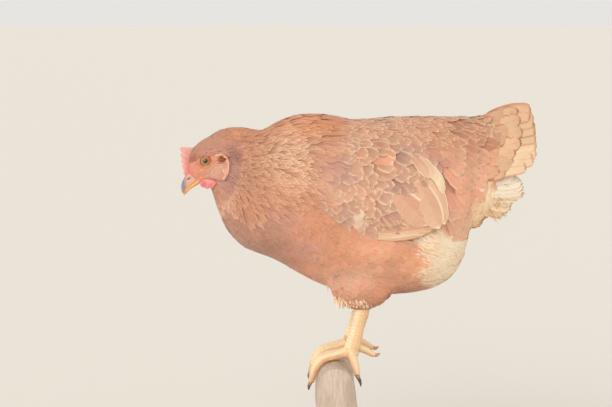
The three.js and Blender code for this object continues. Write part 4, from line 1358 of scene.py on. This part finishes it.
# the eyeball's rings run round the line of sight, so that pupil and iris have crisp round edges
s = Shader("eyeball")
uv = s.node("ShaderNodeUVMap", uv_map="iris").outputs[0]
u, v, _ = s.node("ShaderNodeSeparateXYZ", {0: uv}).outputs
drawn_out = s.node("ShaderNodeCombineXYZ", {0: s.math("MULTIPLY", u, 60.0), 1: s.math("MULTIPLY", v, 9.0)})
streaks = s.noise(drawn_out.outputs[0], 1.0, 3)
iris = s.blend(s.ramp(v, 0.40, 0.62), srgb(176, 128, 44), srgb(128, 84, 36))
iris = s.blend(s.math("MULTIPLY", s.ramp(streaks, 0.35, 0.7), 0.6), iris, srgb(206, 168, 84))
iris = s.blend(s.ramp(v, 0.57, 0.64), iris, srgb(104, 62, 38))
s.set(Base_Color=s.blend(s.ramp(v, 0.40, 0.415), srgb(10, 10, 10), iris), Roughness=0.12)
s.set(Coat_Weight=1.0, Coat_Roughness=0.03)
EYE_RINGS, EYE_SIDES = 70, 64
turn = np.linspace(0.01, math.pi - 0.01, EYE_RINGS)
around = circle(EYE_SIDES)
wide = np.sin(turn)[:, None]
gaze = np.stack(np.broadcast_arrays(wide * np.cos(around), np.cos(turn)[:, None], wide * np.sin(around)), -1)
bulge = 1 + 0.05 * bump_at(turn, 0, 0.5)[:, None, None]
ball = np.array([EYE["at"][0], EYE["out"], EYE["at"][1]]) + EYE["radius"] * gaze * bulge
off = np.append(np.repeat(np.sin(turn), EYE_SIDES), [0, 0])
off[turn.searchsorted(math.pi / 2) * EYE_SIDES : -2] = 1
iris_uv = np.stack([np.append(np.tile(around / (2 * math.pi), EYE_RINGS), [0, 0]), off], -1)
for side, label in ((-1, "left"), (1, "right")):
    eye = loft("eye_shaped_" + label, from_head(ball * [1, side, 1]), s.material)
    uv_from_points(eye, "iris", iris_uv)
    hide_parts("eye_" + label)
    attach(eye, "root")

# bristles: the rusty tuft over the ear, short fine feathers on the cheek and stubble round the eye
made = np.random.default_rng(12)
TUFTS = [
    # count, middle, spread, length, width, lift, colour
    (150, (-14.5, -9.5), (3.6, 2.4), (3.5, 6.5), 0.7, 1.1, srgb(184, 108, 68)),
    (60, (-15, -9.5), (3.0, 2.0), (3.0, 5.5), 0.6, 1.5, srgb(132, 78, 52)),
    (700, (-3, -15), (10, 7), (1.8, 3.2), 0.6, 0.12, srgb(216, 166, 144)),
    (200, (2, -3), (9, 7), (1.2, 2.4), 0.35, 0.2, srgb(196, 136, 104)),
    (60, (5, -5), (4, 1.2), (1.0, 1.6), 0.6, 0.3, srgb(238, 200, 128)),
    (160, (14, -1), (5, 6), (1.2, 2.2), 0.4, 0.15, srgb(214, 150, 116)),
]
skin_surface = Surface(skin)
parts = []
for count, middle, spread, long, wide, lift, colour in TUFTS:
    for side in (-1, 1):
        f, h = (np.array(middle) + made.normal(size=(count, 2)) * np.array(spread) * 0.62).T
        clear = np.hypot((f - EYE["at"][0]) / 6.0, (h - EYE["at"][1]) / 5.4) > 1.0
        for start in from_head(np.stack([f, np.full(count, side * 60.0), h], -1))[clear]:
            hit = skin_surface.tree.ray_cast(Vector(start) * MM, Vector((0, -side, 0)))[0]
            if hit is not None and bare_face(np.array([hit]) / MM)[0] > 0.6:
                parts.append((*(np.array(hit) / MM), made.uniform(*long), wide, lift, *colour))
parts = np.array(parts)
root, long, wide, lift, tint = parts[:, :3], parts[:, 3], parts[:, 4], parts[:, 5], parts[:, 6:]
count = len(root)
sideways, upwards = 0.2 * np.sign(root[:, 1]), 0.3 * made.normal(size=count) - 0.15
way = from_head(np.stack([-np.ones(count), sideways, upwards], -1)) - EYE_LINE
tint = tint * np.exp(0.12 * made.normal(size=(count, 1)))
look = {"tint": tint, "trim": tint * 1.3, "marks": np.full((count, 3), 0.2)}
lay("bristles", skin_surface, root, way, long, wide, look, rows=6, depth=np.full(count, 0.25),
    lift=lift * made.uniform(0.4, 1.3, count), shape="lance", columns=3, material=feather, thick=0.15,
    made=made)

# ---------------------------------------------------------------- legs

PATHS = {
    "middle": [[13, 35, 142], [0, 36, 138], [-13.5, 37, 134.3], [-22.7, 37.5, 124.8], [-26, 38, 114],
               [-28, 38, 107]],
    "inner": [[13, 30, 142], [1, 25.5, 138], [-11.5, 21, 134.9], [-21.3, 17.5, 126.7], [-24.9, 15.5, 117.8]],
    "outer": [[17.5, 38, 142], [20.3, 47, 136.5], [22.9, 55, 127.5], [24.9, 61, 118.2]],
    "hind": [[24, 32.5, 147], [33, 29.5, 143.6], [41, 27.5, 138.9], [45.6, 26.5, 136.8]],
    "shank": [[19.8, 34, 149], [25.4, 34, 168], [31.4, 34, 191]],
}
TOES = ("middle", "inner", "outer", "hind")


def nearest_on(path, p):
    """Distance from a bent line, and how far along it the nearest place is."""
    best, where, before = np.full(len(p), 1e9), np.zeros(len(p)), 0.0
    for a, b in zip(np.array(path[:-1], float), np.array(path[1:], float)):
        span = np.linalg.norm(b - a)
        t = (((p - a) @ (b - a)) / span**2).clip(0, 1)
        off = np.linalg.norm(p - a - t[:, None] * (b - a), axis=1)
        where = np.where(off < best, before + t * span, where)
        best, before = np.minimum(best, off), before + span
    return best, where


def plates(s, pitch):
    """Overlapping plates along a length: each rises slowly and ends in a step."""
    part = (s / pitch) % 1
    return np.sqrt(part) * step(1.0, 0.9, part)


scale_skin = painted_material("leg_scales", 0.42, 0.9, 0.05, 0.14, 0.1, 0.1)
claw_horn = painted_material("claw_horn", 0.35, 1.0, 0.05, 0.2, 0.0, 0.2)
for side, label in ((-1, "left"), (1, "right")):
    nodes = ["shank_" + label] + [f"toe_{toe}_{label}" for toe in TOES]
    leg = fuse("leg_" + label, [copy_of_node(node, 0.3) for node in nodes], 0.5)
    relax(leg, 16, 0.5)
    raised = points_of(leg)
    raised[:, 2] += 3 * step(184, 189, raised[:, 2])
    set_points(leg, raised)
    push(leg, lambda p: np.full(len(p), 0.2))
    p = points_of(leg) * [1, side, 1]
    n = normals_of(leg) * [1, side, 1]
    found = {k: nearest_on(path, p) for k, path in PATHS.items()}
    off = np.stack([found[k][0] - (3 if k == "shank" else 0) for k in PATHS])
    part = off.argmin(0)
    s_along = np.stack([found[k][1] for k in PATHS])[part, np.arange(len(p))]
    shank = part == list(PATHS).index("shank")
    away = unit(p - [0, 0, 110] - p * [0, 1, 0])
    top = np.where(shank, step(-0.1, 0.5, -n[:, 0]), step(0.05, 0.45, (n * away).sum(1)))
    column = np.where(shank & (p[:, 1] > 34), 2.1, 0)
    scute = plates(s_along + column, np.where(shank, 4.2, 2.7))
    split = np.where(shank, bump_at(p[:, 1] - 34, 0, 0.45) * step(0.3, 0.8, -n[:, 0]), 0)
    grain = (0.5 + 0.7 * waves(p, 1.05, 81)).clip(0, 1)
    lift = top * (0.42 * scute - 0.3 * split) + (1 - top) * 0.22 * grain
    push(leg, lambda _: lift - 0.2)
    base = over(srgb(240, 204, 156), srgb(250, 230, 190), top * scute)
    base = over(base, srgb(226, 150, 116), 0.35 * (1 - top) * (1 - grain))
    base = over(base, srgb(214, 148, 108), 0.45 * top * step(0.25, 0.0, scute))
    base = over(base, srgb(216, 156, 118), 0.4 * step(128, 112, p[:, 2])) * (1 + 0.05 * waves(p, 9, 82)[:, None])
    bare_part("leg_" + label, nodes, leg, base, scale_skin)
    for toe in TOES:
        node = f"claw_{toe}_{label}"
        claw = fuse("claw_shape", [copy_of_node(node, 0.12)], 0.28)
        relax(claw, 5, 0.5)
        p = points_of(claw)
        root_end = np.array(PATHS[toe][-1]) * [1, side, 1]
        out = np.linalg.norm(p - root_end, axis=1)
        push(claw, lambda p: 0.05 * np.sin(out * 5) + 0.06 * waves(p, 0.8, 83))
        end = srgb(196, 150, 118) if toe == "hind" else srgb(104, 74, 62)
        colour = over(srgb(206, 160, 126), end, step(0.5, 7, out))
        bare_part(f"claw_{toe}_{label}_shaped", [node], claw, colour, claw_horn)

# ---------------------------------------------------------------- the stand

wood = Shader("perch_wood")
grain = wood.noise(wood.object_place((1, 0.12, 0.16)), 420, 5, 0.6)
cloud = wood.noise(wood.object_place((1, 0.3, 0.35)), 46, 3)
pores = wood.noise(wood.object_place((1, 0.1, 0.2)), 1500, 2)
tone = wood.blend(wood.ramp(cloud, 0.3, 0.7), srgb(188, 168, 150), srgb(212, 196, 180))
tone = wood.blend(wood.math("MULTIPLY", wood.ramp(grain, 0.62, 0.35), 0.45), tone, srgb(176, 150, 132))
tone = wood.blend(wood.math("MULTIPLY", wood.ramp(pores, 0.6, 0.75), 0.3), tone, srgb(140, 116, 100))
wood.set(Base_Color=tone, Roughness=0.75, Specular_IOR_Level=0.3)
wood.bump(wood.math("ADD", grain, wood.math("MULTIPLY", pores, 0.3)), 0.5, 0.25)
RAIL_HALF, RAIL_ROUND = 100, 1.4
RAIL_SIDES = [[-21.6, 96], [-22.2, 80], [-22, 69], [-17, 63.5], [21, 63.5], [25.5, 69], [25.2, 80], [22.6, 96]]
arc = np.radians(np.linspace(0, 180, 10))
section = np.concatenate([RAIL_SIDES, np.stack([21 * np.cos(arc), 110 + 22 * np.sin(arc)], -1)])
loop = np.concatenate([section, section[:1]])
length = np.append(0, np.cumsum(np.linalg.norm(np.diff(loop, axis=0), axis=1)))
even = np.linspace(0, length[-1], 181)[:-1]
section = np.stack([np.interp(even, length, loop[:, c]) for c in range(2)], -1)
for _ in range(12):
    section = section / 2 + (np.roll(section, 1, 0) + np.roll(section, -1, 0)) / 4
y = np.linspace(-RAIL_HALF, RAIL_HALF, 160)
end = RAIL_ROUND * (1 - np.sqrt(1 - ((np.abs(y) - RAIL_HALF) / RAIL_ROUND + 1).clip(0, 1) ** 2))
spoke = unit(section - [0, 97.7])
rings = np.stack(np.broadcast_arrays(section[None, :, 0], y[:, None], section[None, :, 1]), -1)
hollows, cracks = waves(rings * [1, 0.1, 1], 6, 91), waves(rings * [1, 0.05, 1], 13, 92)
dent = -0.25 * np.abs(hollows) - 0.3 * bump_at(cracks, 0, 0.05)
out = 0.6 * np.sin(y / 23)[:, None] - end[:, None] + dent + 0.2
rings = rings + np.stack([spoke[None, :, 0] * out, np.zeros_like(out), spoke[None, :, 1] * out], -1)
log = loft("perch_rail", rings, wood.material)
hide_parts("stand_perch")
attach(log, "root")

board = Shader("base_wood")
grain = board.noise(board.object_place((1.2, 14, 14)), 16, 6, 0.6)
board.set(Base_Color=board.blend(grain, srgb(52, 34, 24), srgb(96, 66, 46)), Roughness=0.38)
board.set(Coat_Weight=0.3, Coat_Roughness=0.25)
board.bump(grain, 0.3, 0.15)
NODES["stand_base"].material_slots[0].material = board.material
steel = Shader("brushed_steel")
streak = steel.noise(steel.object_place((1, 1, 0.02)), 2600, 2)
steel.set(Base_Color=(0.52, 0.53, 0.54), Metallic=1.0, Roughness=steel.ramp(streak, 0, 1, 0.26, 0.46))
steel.bump(streak, 0.15, 0.05)
ROD_PROFILE = [[14.3, 8.6], [15.2, 9], [17, 9], [17.8, 8.4], [18, 5.2], [18.4, 5], [60, 5], [66, 5]]
for label, y in (("left", -66), ("right", 66)):
    rings = [[[r * math.cos(a), y + r * math.sin(a), z] for a in circle(64)] for z, r in ROD_PROFILE]
    rod = loft("rod_turned_" + label, rings, steel.material)
    rod.data.set_sharp_from_angle(angle=math.radians(35))
    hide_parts("stand_rod_" + label)
    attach(rod, "root")

# ---------------------------------------------------------------- floor, light and camera

bpy.data.objects.remove(form)
pale = Shader("studio_floor")
pale.set(Base_Color=(0.80, 0.765, 0.70), Roughness=0.9, Specular_IOR_Level=0.2)
FLOOR_SIDES, FLOOR_RADIUS = 96, 60000
turn = circle(FLOOR_SIDES)
disc = np.stack([FLOOR_RADIUS * np.cos(turn), FLOOR_RADIUS * np.sin(turn), np.zeros(FLOOR_SIDES)], -1)
tris = [[FLOOR_SIDES, i, (i + 1) % FLOOR_SIDES] for i in range(FLOOR_SIDES)]
floor = mesh_object("floor", np.concatenate([disc, [[0, 0, 0]]]), [], tris, pale.material)

scene = bpy.context.scene
scene.view_settings.view_transform = "Standard"
world = scene.world or bpy.data.worlds.new("studio")
scene.world = world
world.use_nodes = True
world.node_tree.nodes["Background"].inputs[0].default_value = (1.0, 0.975, 0.94, 1)
world.node_tree.nodes["Background"].inputs[1].default_value = 0.8


def lamp(name, way, power, softness, colour):
    """A soft light from far off that shines along `way`, the same over the whole floor."""
    light = bpy.data.lights.new(name, "SUN")
    light.energy, light.angle, light.color = power, math.radians(softness), colour
    add(name, light).rotation_euler = Vector(way).to_track_quat("-Z", "Y").to_euler()


lamp("key", (0.4, 0.85, -0.33), 1.5, 50, (1, 0.97, 0.93))
lamp("back", (-0.5, -0.8, -0.6), 0.4, 40, (1, 0.96, 0.9))

# A telephoto view from the hen's left, a little above, that takes in 710 mm at the hen.
PICTURE = {"middle": (-33.6, 0, 310), "width": 710, "away": 2609, "above": math.radians(5)}
camera = bpy.data.cameras.new("camera")
camera.sensor_width = 36
camera.lens = 36 * PICTURE["away"] / PICTURE["width"]
camera.clip_start, camera.clip_end = 0.05, 200
view = add("camera", camera)
back = Vector((0, -math.cos(PICTURE["above"]), math.sin(PICTURE["above"])))
view.location = (Vector(PICTURE["middle"]) + back * PICTURE["away"]) * MM
view.rotation_euler = (-back).to_track_quat("-Z", "Y").to_euler()
scene.camera = view
